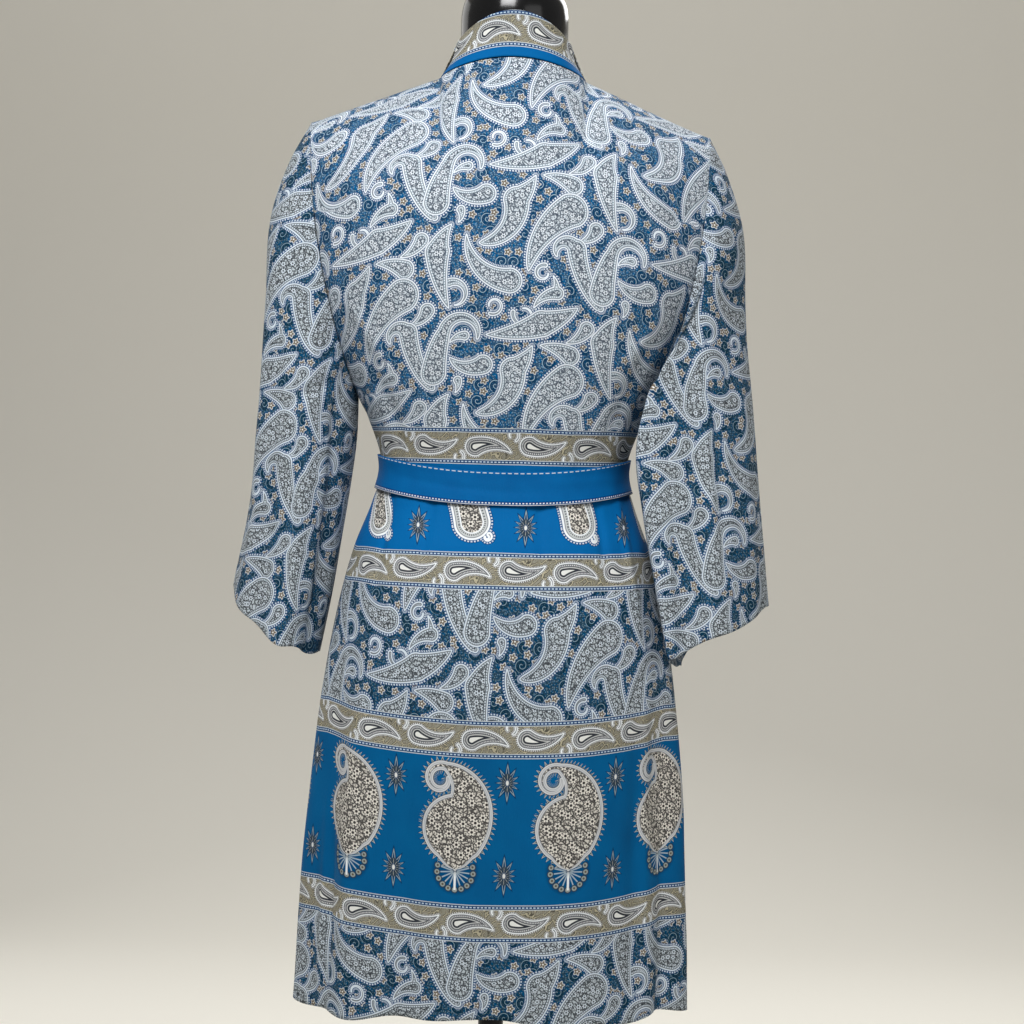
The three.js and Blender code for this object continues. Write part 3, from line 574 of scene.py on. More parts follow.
@dataclass(frozen=True)
class Weaver:
    """Turns a hung cut into a thin closed shell.

    Args:
        thickness: of the shell in mm.
        seed: of the fine unevenness.
        ripple: depth of that unevenness in mm.
        waves: how many waves it is made of.
    """

    thickness: float = 0.8
    seed: int = 7
    ripple: float = 0.5
    waves: int = 14

    @staticmethod
    def normals(grid: Array, closed: bool) -> Array:
        """Outward normals of a grid.

        Args:
            grid: of points.
            closed: whether the last column joins the first.

        Returns:
            One normal a point.
        """
        if closed:
            across = np.roll(grid, -1, axis=1) - np.roll(grid, 1, axis=1)
        else:
            across = np.gradient(grid, axis=1)
        up = np.gradient(grid, axis=0)
        normal = np.cross(across, up)
        return normal / np.maximum(np.linalg.norm(normal, axis=2, keepdims=True), 1e-9)

    def unevenness(self, flat: Array) -> Array:
        """Fine long waves of hanging crepe.

        Args:
            flat: places on the cut in mm.

        Returns:
            Their heights in mm.
        """
        draw = np.random.default_rng(self.seed)
        total = np.zeros(flat.shape[:2])
        for _ in range(self.waves):
            slant = draw.normal(0, 0.28)
            pitch = draw.uniform(26, 90)
            phase, drift = draw.uniform(0, 2 * math.pi, 2)
            way = flat[..., 0] * math.cos(slant) + flat[..., 1] * math.sin(slant)
            swell = 0.6 + 0.4 * np.sin(flat[..., 1] / (1.7 * pitch) + drift)
            total += np.sin(2 * math.pi * way / pitch + phase) * swell * pitch / 60
        return total * self.ripple / 3

    def weave(self, name: str, cut: Cut, relief: Array, finish: "Finish") -> Piece:
        """Makes the shell.

        Args:
            name: of the piece.
            cut: the hung cut.
            relief: heights of creases along the normals, in mm, on the cut's grid.
            finish: its materials.

        Returns:
            The new object, in metres.
        """
        grid = cut.hung + self.normals(cut.hung, cut.closed) * relief[..., None]
        facing = self.normals(grid, cut.closed)
        outer = BODY.settle(grid)
        inner = BODY.settle(grid - facing * self.thickness)
        rows, width = grid.shape[:2]
        columns = width if cut.closed else width - 1
        i, j = (a.ravel() for a in np.meshgrid(np.arange(rows - 1), np.arange(columns), indexing="ij"))
        k = (j + 1) % width
        shift = rows * width
        quads = np.stack([i * width + j, i * width + k, (i + 1) * width + k, (i + 1) * width + j], axis=1)
        around = ((i, j), (i, j + 1), (i + 1, j + 1), (i + 1, j))
        places = np.stack([np.stack(corner, axis=1) for corner in around], axis=1)
        faces = [quads, quads[:, ::-1] + shift]
        corners = [places, places[:, ::-1]]
        sides = [np.zeros(len(quads), int), np.ones(len(quads), int)]

        def rim(here: Array, there: Array) -> None:
            """Closes the edge between outside and inside along a run.

            Args:
                here: row and column of the first end of each step of the run.
                there: those of its second end.
            """
            first, second = (at[:, 0] * width + at[:, 1] % width for at in (here, there))
            faces.append(np.stack([second, first, first + shift, second + shift], axis=1))
            corners.append(np.stack([there, here, here, there], axis=1))
            sides.append(np.zeros(len(first), int))

        j = np.arange(columns)
        bottom, top = (np.stack([np.full(columns, row), j], axis=1) for row in (0, rows - 1))
        rim(bottom, bottom + (0, 1))
        rim(top + (0, 1), top)
        if not cut.closed:
            i = np.arange(rows - 1)
            left, right = (np.stack([i, np.full(rows - 1, column)], axis=1) for column in (0, width - 1))
            rim(left + (1, 0), left)
            rim(right, right + (1, 0))
        vertices = np.concatenate([outer.reshape(-1, 3), inner.reshape(-1, 3)]) * MM
        all_faces = np.concatenate(faces)
        mesh = bpy.data.meshes.new(name)
        mesh.from_pydata(vertices.tolist(), [], all_faces.tolist())
        at = np.concatenate(corners).reshape(-1, 2)
        layer = mesh.uv_layers.new(name="cut")
        layer.data.foreach_set("uv", (cut.flat[at[:, 0], at[:, 1]] * MM).ravel())
        middles = cut.flat[at[:, 0], at[:, 1], 1].reshape(-1, 4).mean(axis=1)
        mesh.polygons.foreach_set("material_index", finish.assign(mesh, middles, np.concatenate(sides)))
        mesh.polygons.foreach_set("use_smooth", np.ones(len(all_faces), bool))
        mesh.update()
        piece = bpy.data.objects.new(name, mesh)
        bpy.context.scene.collection.objects.link(piece)
        return piece


def edge_fade(rows: int, columns: int, reach: tuple[int, int, int, int]) -> Array:
    """A mask that is 0 at chosen edges of a grid and 1 inside it.

    Args:
        rows: of the grid.
        columns: of the grid.
        reach: steps over which it grows from the bottom, the top and the first and last column; 0 leaves
            an edge alone.

    Returns:
        The mask.
    """
    i = np.arange(rows)[:, None]
    j = np.arange(columns)[None, :]
    mask = np.ones((rows, columns))
    for distance, steps in zip((i, rows - 1 - i, j, columns - 1 - j), reach):
        if steps:
            mask = mask * smooth(distance / steps, 0, 1)
    return mask


def crowd(count: int) -> Array:
    """Shares of a skirt's height for its rows, closer together towards the waist."""
    return 1 - (1 - np.linspace(0, 1, count)) ** 1.3


@dataclass
class Panel:
    """A panel of the robe with its creases.

    Args:
        name: of the piece.
        creases: laid on the cut.
        weaver: makes its shell.
        fade: steps over which the creases fade out at the bottom, the top and the sides.
    """

    name: str
    creases: tuple[Crease, ...] = ()
    weaver: Weaver = Weaver()
    fade: tuple[int, int, int, int] = (8, 8, 8, 8)

    def cut(self) -> Cut:
        """The panel hung in its place."""
        raise NotImplementedError

    def relief(self, cut: Cut) -> Array:
        """Height of its creases and fine unevenness on the cut's grid.

        Args:
            cut: the hung panel.

        Returns:
            The heights in mm.
        """
        rows, columns = cut.hung.shape[:2]
        flat = cut.flat[:, :columns]
        total = self.weaver.unevenness(flat)
        total = total + sum(crease.height(flat[..., 0], flat[..., 1]) for crease in self.creases)
        return total * edge_fade(rows, columns, self.fade)

    def build(self, finish: "Finish") -> tuple[Piece, Cut]:
        """Weaves the panel in its materials.

        Args:
            finish: its materials.

        Returns:
            The new piece and the cut it was made from.
        """
        cut = self.cut()
        return self.weaver.weave(self.name, cut, self.relief(cut), finish), cut


@dataclass
class BackSkirt(Panel):
    """The back of the skirt, from hem to waist seam."""

    across: int = 170
    along: int = 150

    def cut(self) -> Cut:
        """The panel hung in its place.

        Returns:
            The cut.
        """
        angle = np.linspace(90 - CLOTH_GAP_DEGREES, -90 + CLOTH_GAP_DEGREES, self.across)[None, :]
        v = crowd(self.along)[:, None]
        z = BODY.hem(angle, v)
        return Cut(BODY.point(angle + 0 * z, z), origin=(0.5, HEM))


@dataclass
class FrontPanel(Panel):
    """A panel of one front; its side is 1 for the wearer's left and -1 for the right."""

    side: int = 1

    def facing(self, hung: Array, hem: float = 0.0) -> Cut:
        """The cut of a front hung from its centre outwards, seen from outside; hem as in a cut's origin."""
        return Cut(hung, (0.0, hem)) if self.side > 0 else Cut(hung[:, ::-1], (1.0, hem))


@dataclass
class FrontSkirt(FrontPanel):
    """One front of the skirt, from its band's seam to the side seam."""

    across: int = 110
    along: int = 130

    def grid(self, distance: Callable[[Array], Array], v: Array) -> Array:
        """Points on the waved hem's rows.

        Args:
            distance: gives distances from the centre line at heights.
            v: shares of the height, one a row.

        Returns:
            The points in mm.
        """
        level = mix(HEM, WAIST - GAP, v) + 0 * distance(v * 0 + HEM)
        guide = BODY.front(self.side, distance(level), level)
        z = BODY.hem(np.degrees(np.arctan2(guide[..., 0], guide[..., 1])), v)
        return BODY.front(self.side, distance(z), z)

    def cut(self) -> Cut:
        """The panel hung in its place.

        Returns:
            The cut.
        """
        u = np.linspace(0, 1, self.across)[None, :]
        rows = crowd(self.along)[:, None]
        hung = self.grid(lambda z: BODY.front_across(z, u, BODY.band_seam(z) + GAP), rows)
        return self.facing(hung, HEM)


@dataclass
class BackBodice(Panel):
    """The back above the waist seam, up to the shoulder line and the neckline."""

    across: int = 150
    body_rows: int = 86
    yoke_rows: int = 60

    def cut(self) -> Cut:
        """The panel hung in its place.

        Returns:
            The cut.
        """
        angle = np.linspace(90 - CLOTH_GAP_DEGREES, -90 + CLOTH_GAP_DEGREES, self.across)[None, :]
        z = np.linspace(WAIST, BODY.yoke_z, self.body_rows)[:, None]
        lower = BODY.point(angle + 0 * z, z + 0 * angle)
        scale = BODY.tip[0] / float(BODY.section(BODY.yoke_z)[0])
        w = np.linspace(0, 1, self.yoke_rows)[1:, None] * (1 - SHORT)
        foot = BODY.point(angle + 0 * w, BODY.yoke_z + 0 * w + 0 * angle)
        out = foot[..., 0] * scale
        upper = BODY.yoke(foot, BODY.top_edge(out), np.abs(out) / BODY.tip[0], 1, w + 0 * angle)
        return Cut(np.concatenate([lower, upper]))


@dataclass
class FrontBodice(FrontPanel):
    """One front above the waist seam."""

    across: int = 80
    body_rows: int = 80
    yoke_rows: int = 56

    def cut(self) -> Cut:
        """The panel hung in its place.

        Returns:
            The cut.
        """
        u = np.linspace(0, 1, self.across)[None, :]
        z = np.linspace(WAIST, BODY.yoke_z, self.body_rows)[:, None] + 0 * u
        lower = BODY.front(self.side, BODY.front_across(z, u, BODY.band_seam(z) + GAP), z)
        w = np.linspace(0, 1, self.yoke_rows)[1:, None] + 0 * u
        upper = BODY.front_yoke(self.side, u + 0 * w, w)
        hung = np.concatenate([lower, upper])
        return self.facing(hung)


@dataclass
class Sleeve(Panel):
    """A wide three-quarter sleeve, one piece with its seam beneath the arm."""

    side: int = 1
    sections: Table = Table(("t",), ((0,), (1,)))
    folds: tuple[Fold, ...] = ()
    cuff_waves: tuple[Wave, ...] = (Wave(3, 4, 50), Wave(7, 2, 0))
    around: int = 170
    along: int = 140

    def point(self, angle: Array, t: Array) -> Array:
        """Points of the sleeve.

        Args:
            angle: from the outside (0) over the back (90).
            t: shares of its length, from armhole to cuff.

        Returns:
            The points in mm.
        """
        at = {name: self.sections.at(name, t) for name in self.sections.columns[1:]}
        c = np.cos(np.radians(angle))
        s = np.sin(np.radians(angle))
        share = (1 + c) / 2
        spread = 1 + fold_depth(self.folds, angle, t) / at["depth"]
        bulge = BODY.armhole_bulge * s * s * (1 - smooth(t, 0, 0.6))
        swing = np.where(s > 0, at["swing"] * s * s, 0)
        middle = (at["out_x"] + at["in_x"]) / 2
        x = middle + (mix(at["in_x"], at["out_x"], share) - middle) * spread + bulge - swing
        wave = sum(w.height(angle) for w in self.cuff_waves) * smooth(t, 0.75, 1)
        z = mix(at["in_z"], at["out_z"], share) - at["tilt"] * s + wave
        return points(self.side * x, at["back"] + at["depth"] * spread * s, z)

    def cut(self) -> Cut:
        """The sleeve hung in its place; its cut's seam lies beneath the arm.

        Returns:
            The cut.
        """
        turn = np.linspace(-180, 180, self.around + 1)[:-1][None, :]
        angle = turn if self.side > 0 else -turn
        t = np.linspace(1, SHORT, self.along)[:, None]
        return Cut(self.point(angle + 0 * t, t + 0 * angle), closed=True, grain=Grain.PLUMB)


@dataclass
class Collar(Panel):
    """The standing collar round the back of the neck."""

    around: int = 120
    across: int = 24

    @staticmethod
    def seam(angle: Array) -> Array:
        """Points of its seam on the neckline.

        Args:
            angle: from the nape (0) to a neck point (90).

        Returns:
            The points in mm.
        """
        share = np.sin(np.radians(angle))
        y = BODY.neck[1] + (BODY.nape[0] - BODY.neck[1]) * np.cos(np.radians(angle))
        return points(BODY.neck[0] * share, y, mix(BODY.nape[1], BODY.neck[2], share**2) + 0.9)

    @staticmethod
    def edge(angle: Array) -> Array:
        """Points of its free edge.

        Args:
            angle: as for the seam.

        Returns:
            The points in mm.
        """
        share = np.sin(np.radians(angle))
        half_width, depth, rise = BODY.collar_edge
        z = mix(BODY.nape[1] + BAND, BODY.neck[2] + rise, share**2)
        return points(half_width * share, 1 + depth * np.cos(np.radians(angle)), z)

    def cut(self) -> Cut:
        """The collar hung in its place.

        Returns:
            The cut.
        """
        angle = np.linspace(90 - CLOTH_GAP_DEGREES, -90 + CLOTH_GAP_DEGREES, self.around)[None, :]
        v = np.linspace(0, 1, self.across)[:, None]
        hollow = 3 * np.sin(math.pi * v)
        inwards = points(hollow * np.sin(np.radians(angle)), hollow * np.cos(np.radians(angle)), 0)
        return Cut(mix(self.seam(angle), self.edge(angle), v[..., None]) - inwards)


@dataclass
class FrontBand(FrontSkirt):
    """The band along a front edge: flat from hem to chest, then turning up to stand against the neck."""

    across: int = 16
    body_rows: int = 80
    yoke_rows: int = 56

    def cut(self) -> Cut:
        """The band hung in its place.

        Returns:
            The cut.
        """
        e = np.linspace(0, 1, self.across)[None, :]
        lower = self.grid(lambda z: BODY.band_seam(z) - BAND * (1 - e), crowd(self.along)[:, None])
        z = np.linspace(WAIST, BODY.yoke_z, self.body_rows)[1:, None] + 0 * e
        middle = BODY.front(self.side, BODY.band_seam(z) - BAND * (1 - e), z)
        lying = middle[-1, 0] - middle[-1, -1]
        lying /= np.linalg.norm(lying)
        standing = Collar.edge(self.side * 90.0) - Collar.seam(self.side * 90.0)
        end_width = float(np.linalg.norm(standing))
        standing /= end_width
        w = np.linspace(0, 1, self.yoke_rows)[1:]
        seam = BODY.front_yoke(self.side, 0 * w, w)
        turned = mix(lying, standing, smooth(w, 0.1, 1)[:, None])
        turned /= np.linalg.norm(turned, axis=1, keepdims=True)
        width = mix(BAND, end_width, w)[:, None] * (1 - e) + GAP
        upper = seam[:, None] + turned[:, None] * width[..., None]
        hung = np.concatenate([lower, middle, upper])
        return self.facing(hung)


@dataclass
class SashLoop(Panel):
    """The sash round the waist, sagging at the back, pulled smooth over the folds."""

    height: float = SASH
    stand_off: float = 3.2
    heights: Triple = (1036, 1023, 1034)
    around: int = 240
    across: int = 20

    def point(self, angle: Array, v: Array, out: float) -> Array:
        """Points of the sash.

        Args:
            angle: round the waist, from the centre back.
            v: shares across the sash.
            out: distance off the cloth.

        Returns:
            The points in mm.
        """
        s = np.sin(np.radians(angle))
        c = np.cos(np.radians(angle))
        side_z, back_z, front_z = self.heights
        z = mix(side_z, np.where(c > 0, back_z, front_z), c * c) + (v - 0.5) * self.height
        side, back, _, front, _ = BODY.section(z)
        depth = np.where(c >= 0, back, front + BODY.lap_raise)
        return points(BODY.power(s) * (side + out), BODY.power(c) * (depth + out), z)

    def cut(self) -> Cut:
        """The sash in its place; its cut's ends meet behind the knot.

        Returns:
            The cut.
        """
        angle = np.linspace(540, 180, self.around + 1)[:-1][None, :]
        v = np.linspace(0, 1, self.across)[:, None]
        return Cut(self.point(angle + 0 * v, v + 0 * angle, self.stand_off), closed=True)


@dataclass
class SashEnd(Panel):
    """One hanging end of the sash."""

    x: float = 0.0
    lean: float = 0.0
    length: float = 300
    twist: float = 6
    across: int = 14
    along: int = 90
    sash: SashLoop = field(default_factory=lambda: SashLoop("sash"))

    def cut(self) -> Cut:
        """The end hung from beneath the sash's lower edge.

        Returns:
            The cut.
        """
        v = np.linspace(0, 1, self.along)[:, None]
        e = np.linspace(-0.5, 0.5, self.across)[None, :]
        fallen = 1 - v
        z = self.sash.heights[2] - self.sash.height / 2 - GAP - self.length * fallen
        width = self.sash.height * mix(1, 0.5, smooth(v, 0.6, 1))
        stood = mix(self.sash.stand_off, 5, smooth(fallen, 0, 0.2))
        depth = BODY.sections.at("front", z) + BODY.lap_raise + stood
        pleat = 1.5 * np.cos(4 * math.pi * e) * smooth(v, 0.5, 1)
        y = -depth - self.twist * (e + 0.5) * fallen + pleat
        return Cut(points(self.x + self.lean * fallen + e * width, y, z + 0 * e))


def lump(name: str, rings: Array, tip: Triple, material: Material) -> Piece:
    """Makes a smooth solid of rings that is flat at its first ring and closed by a point at its other end.

    Args:
        name: of the piece.
        rings: rows of points in mm, one row a ring.
        tip: the closing point in mm.
        material: of the whole.

    Returns:
        The new piece, in metres.
    """
    count = rings.shape[1]
    vertices = np.concatenate([rings.reshape(-1, 3), [tip]]) * MM
    last = len(vertices) - 1
    faces = [list(range(count))]
    for low in range(0, last, count):
        for j in range(count):
            k = (j + 1) % count
            if low + count < last:
                faces.append([low + j, low + count + j, low + count + k, low + k])
            else:
                faces.append([low + j, last, low + k])
    mesh = bpy.data.meshes.new(name)
    mesh.from_pydata(vertices.tolist(), [], faces)
    mesh.materials.append(material)
    for polygon in mesh.polygons[1:]:
        polygon.use_smooth = True
    piece = bpy.data.objects.new(name, mesh)
    bpy.context.scene.collection.objects.link(piece)
    return piece


@dataclass
class SashKnot:
    """The knot of the sash: a soft wrapped lump with a flat back on the sash.

    Args:
        x: how far it lies to the wearer's left of the centre, in mm.
        half: half its width, its depth and half its height, in mm.
        around: points of a ring.
        rings: how many rings it has.
        sash: what it lies on.
    """

    x: float = -14
    half: Triple = (21, 17, 21)
    around: int = 96
    rings: int = 39
    sash: SashLoop = field(default_factory=lambda: SashLoop("sash"))

    def build(self, material: Material) -> Piece:
        """Makes the knot.

        Args:
            material: of its cloth.

        Returns:
            The new piece.
        """
        sash = self.sash
        seat = float(sash.point(np.array(180.0), np.array(0.0), sash.stand_off + 2 * GAP)[1]) - GAP
        middle = sash.heights[2]
        turn = np.linspace(0, 2 * math.pi, self.around, endpoint=False)[None, :]
        rise = np.linspace(0, math.pi / 2, self.rings + 1)[:-1, None]
        wrap = 1 + 0.05 * np.cos(9 * rise + 2 * np.sin(turn)) * np.sin(2 * rise)
        x = self.x + np.cos(turn) * np.cos(rise) * self.half[0] * wrap
        z = middle + np.sin(turn) * np.cos(rise) * self.half[2] * wrap
        y = seat - np.sin(rise) * self.half[1] * wrap + 0 * turn
        piece = lump("knot", points(x, y, z), (self.x, seat - self.half[1], middle), material)
        layer = piece.data.uv_layers.new(name="cut")
        for loop in piece.data.loops:
            place = piece.data.vertices[loop.vertex_index].co
            layer.data[loop.index].uv = (place.x, place.z - (middle - SASH / 2) * MM)
        return piece


@dataclass(frozen=True)
class TorsoForm:
    """The limbless dress form, smooth from its flat underside to its domed neck cap.

    Args:
        sides: points of a ring.
        rings: how many rings lie between two sections.
        sections: height, half width, depths and roundness in mm.
    """

    sides: int = 144
    rings: int = 8
    sections: Table = Table(
        ("row", "z", "side", "back", "front", "round"),
        (
            (0, 806, 146, 104, 86, 2.3),
            (1, 850, 154, 113, 94, 2.3),
            (2, 900, 150, 112, 94, 2.3),
            (3, 960, 135, 98, 86, 2.3),
            (4, 1005, 119, 85, 78, 2.3),
            (5, 1042, 113, 80, 76, 2.3),
            (6, 1090, 120, 84, 84, 2.3),
            (7, 1155, 136, 94, 106, 2.3),
            (8, 1220, 149, 101, 115, 2.3),
            (9, 1290, 160, 97, 94, 2.2),
            (10, 1337, 168, 82, 70, 1.95),
            (11, 1362, 174, 72, 59, 1.7),
            (12, 1378, 170, 57, 43, 1.4),
            (13, 1387, 151, 52, 33, 1.3),
            (14, 1399, 121, 46, 29, 1.3),
            (15, 1415, 80, 37, 25, 1.3),
            (16, 1428, 57, 42, 36, 1.9),
            (17, 1437, 56, 48, 42, 2),
            (18, 1450, 54.5, 52.5, 47, 2),
            (19, 1470, 53.5, 52, 48, 2),
            (20, 1492, 53, 51.5, 48, 2),
            (21, 1507, 49, 47.5, 44, 2),
            (22, 1518, 38, 37.5, 35, 2),
            (23, 1525, 20, 20, 19, 2),
            (24, 1527, 0, 0, 0, 2),
        ),
    )

    def build(self, material: Material) -> Piece:
        """Makes the form.

        Args:
            material: of its shell.

        Returns:
            The new piece.
        """
        last = len(self.sections.rows) - 1
        rows = np.linspace(0, last, last * self.rings + 1)[:-1, None]
        turn = np.linspace(0, 2 * math.pi, self.sides, endpoint=False)[None, :]
        power = 2 / self.sections.at("round", rows)
        across, depth = np.sin(turn), np.cos(turn)
        reach = np.where(depth >= 0, self.sections.at("back", rows), self.sections.at("front", rows))
        x = np.sign(across) * np.abs(across) ** power * self.sections.at("side", rows)
        y = np.sign(depth) * np.abs(depth) ** power * reach
        rings = points(x, y, self.sections.at("z", rows) + 0 * turn)
        return lump("dress_form", rings, (0, 0, self.sections.rows[-1][1]), material)


def creases(*rows: tuple[float, ...]) -> tuple[Crease, ...]:
    """Creases from rows of their start and end on the cut, across and up, half width and depth, in mm."""
    return tuple(Crease(row[:2], row[2:4], row[4], row[5]) for row in rows)


BACK_BODICE_CREASES = creases(
    (-150, 150, -92, 14, 9, -2.5),
    (152, 156, 100, 20, 9, -2.2),
    (-168, 196, -112, 116, 7, 2.2),
    (166, 188, 108, 104, 8, 2.1),
    (-52, 2, -46, 66, 5, -1.5),
    (16, 0, 22, 84, 6, -1.8),
    (70, 2, 64, 60, 5, 1.7),
    (-100, 2, -96, 56, 5, 1.7),
    (-138, 300, -30, 338, 12, 1.7),
    (140, 288, 48, 330, 11, 1.5),
    (-124, 226, -60, 250, 9, -1.3),
    (96, 214, 150, 262, 9, -1.4),
)
BACK_SKIRT_CREASES = creases(
    (-17, 150, -15, -40, 2.8, 2.2),
    (-9, 136, -7, -40, 2.8, 1.8),
    (-62, 535, -78, 430, 5, -2.1),
    (34, 535, 44, 424, 6, -1.8),
    (92, 532, 114, 410, 5, -2.4),
    (-112, 532, -130, 400, 5, -2.2),
    (122, 528, 152, 370, 6, 2.4),
    (-150, -30, -142, 330, 12, 3.3),
    (152, -30, 146, 360, 10, -3.6),
    (60, -30, 52, 260, 16, 2.0),
    (-88, -30, -82, 240, 14, -2.0),
    (186, -20, 176, 300, 7, 3.6),
    (-190, -30, -184, 220, 6, 3.9),
    (-174, -20, -172, 180, 5, -3.0),
    (-60, 318, 70, 306, 9, 1.0),
)
LEFT_FRONT_CREASES = creases(
    (150, 180, 34, 24, 9, -2.6),
    (120, 330, 96, 150, 12, 2.1),
    (44, 6, 50, 76, 5, 1.6),
    (92, 4, 90, 60, 6, -1.7),
)
RIGHT_FRONT_CREASES = creases(
    (-146, 190, -40, 30, 9, -2.3),
    (-118, 340, -100, 140, 12, 2.0),
    (-60, 6, -64, 70, 5, -1.6),
)
LEFT_SKIRT_CREASES = creases(
    (70, 535, 96, 330, 6, -2.4),
    (130, 530, 168, 300, 7, 2.5),
    (96, -30, 92, 280, 14, 2.5),
    (168, -30, 160, 330, 12, -3.1),
    (236, -30, 220, 260, 9, 3.1),
)
RIGHT_SKIRT_CREASES = creases(
    (-64, 535, -84, 340, 6, 2.2),
    (-124, 530, -156, 290, 7, -2.5),
    (-110, -30, -104, 250, 14, -2.2),
    (-182, -30, -172, 300, 12, 3.1),
    (-240, -30, -222, 240, 9, -3.1),
)
LEFT_SLEEVE_CREASES = creases(
    (84, 1270, 112, 840, 12, -4.8),
    (132, 1190, 142, 850, 9, 3.8),
    (40, 1220, 62, 840, 12, 3.2),
    (60, 1096, 146, 1126, 7, -3.2),
    (70, 1056, 152, 1012, 6, 2.9),
    (24, 1004, 96, 964, 9, -2.2),
    (-58, 1260, -72, 850, 12, -4.2),
    (-118, 1160, -122, 850, 10, 3.5),
    (-40, 1090, -130, 1120, 8, -2.9),
)
RIGHT_SLEEVE_CREASES = creases(
    (-84, 1260, -116, 840, 12, -4.8),
    (-70, 1136, -80, 926, 7, -4.2),
    (-132, 1190, -142, 850, 9, 3.8),
    (-28, 1200, -44, 840, 12, 3.5),
    (-56, 1112, -150, 1140, 7, -2.9),
    (-60, 1030, -140, 1000, 7, 2.6),
    (62, 1250, 76, 850, 12, -3.8),
    (120, 1150, 124, 850, 10, 3.2),
)
SASH_CREASES = creases(
    (-130, 20, 60, 12, 4, -0.7),
    (20, 24, 150, 18, 4, 0.5),
    (-340, 14, -220, 22, 4, -0.8),
    (230, 20, 350, 12, 4, -0.8),
)

SLEEVE_COLUMNS = ("t", "out_x", "out_z", "in_x", "in_z", "depth", "back", "swing", "tilt")
LEFT_SLEEVE = Table(
    SLEEVE_COLUMNS,
    (
        (0.0, 199, 1383, 147, 1110, 54, 0, 0, 0),
        (0.12, 224, 1334, 147, 1088, 60, 0, 0, 0),
        (0.26, 239, 1276, 148, 1062, 67, 1, -2, 0),
        (0.44, 241, 1190, 153, 1020, 73, 2, -4, 0),
        (0.62, 246, 1092, 160, 972, 77, 2, -2, 4),
        (0.8, 253, 1000, 168, 918, 80, 2, 2, 10),
        (1.0, 267, 916, 180, 857, 82, 2, 6, 16),
    ),
)
RIGHT_SLEEVE = Table(
    SLEEVE_COLUMNS,
    (
        (0.0, 199, 1383, 147, 1110, 54, 0, 0, 0),
        (0.12, 218, 1344, 147, 1088, 60, 1, 8, 0),
        (0.26, 234, 1286, 147, 1060, 68, 4, 32, 0),
        (0.44, 237, 1194, 149, 1016, 75, 7, 57, 0),
        (0.62, 247, 1098, 156, 966, 80, 9, 56, 3),
        (0.8, 257, 1006, 167, 914, 82, 11, 53, 8),
        (1.0, 267, 908, 181, 852, 84, 12, 52, 12),
    ),
)
LEFT_SLEEVE_FOLDS = (
    Fold(30, 11, 3.5, 0.2, 0.5),
    Fold(62, 12, -4, 0.1, 0.45),
    Fold(96, 12, 4, 0.15, 0.6),
    Fold(132, 11, -7, 0.08, 0.35),
    Fold(158, 10, 3, 0.3, 0.7),
    Fold(222, 13, -6, 0.1, 0.5),
    Fold(262, 13, 4, 0.2, 0.6),
    Fold(305, 13, -4, 0.2, 0.6),
)
RIGHT_SLEEVE_FOLDS = (
    Fold(22, 11, -3.5, 0.3, 0.7),
    Fold(50, 11, 4.5, 0.15, 0.6),
    Fold(80, 10, -6, 0.35, 0.8),
    Fold(108, 11, 4, 0.1, 0.5),
    Fold(138, 11, -6, 0.08, 0.35),
    Fold(218, 13, -6, 0.1, 0.5),
    Fold(258, 13, 4, 0.2, 0.6),
    Fold(300, 13, -4, 0.2, 0.6),
)


# ---------------- nodes of the finishes


def linear(red: int, green: int, blue: int) -> tuple[float, float, float, float]:
    """A screen colour, 0 to 255 each, as the scene's linear colour."""
    share = [c / 255 for c in (red, green, blue)]
    return (*(c / 12.92 if c <= 0.04045 else ((c + 0.055) / 1.055) ** 2.4 for c in share), 1.0)


class Wire:
    """A number, vector or colour on its way through a material's nodes."""

    def __init__(self, loom: "Loom", socket: bpy.types.NodeSocket) -> None:
        """Keeps the socket it comes from."""
        self.loom = loom
        self.socket = socket

    def __add__(self, other: "Number") -> "Wire":
        """Sum."""
        return self.loom.math("ADD", self, other)

    def __sub__(self, other: "Number") -> "Wire":
        """Difference."""
        return self.loom.math("SUBTRACT", self, other)

    def __rsub__(self, other: float) -> "Wire":
        """Difference from a number."""
        return self.loom.math("SUBTRACT", other, self)

    def __mul__(self, other: "Number") -> "Wire":
        """Product."""
        return self.loom.math("MULTIPLY", self, other)

    def under(self, edge: float, soft: float = 0.25) -> "Wire":
        """A mask that is 1 below an edge and 0 above it, with a soft step."""
        return self.loom.math("MULTIPLY_ADD", self, -1 / soft, edge / soft + 0.5, clamp=True)

    def within(self, low: float, high: float, soft: float = 0.25) -> "Wire":
        """A mask that is 1 between two edges."""
        off = self.loom.math("ABSOLUTE", self - (low + high) / 2)
        return off.under((high - low) / 2, soft)

    def coat(self, colour: object, share: "Number") -> "Wire":
        """This colour with another laid over it."""
        return self.loom.paint(self, colour, share)

    __radd__ = __add__
    __rmul__ = __mul__


Number = Wire | float


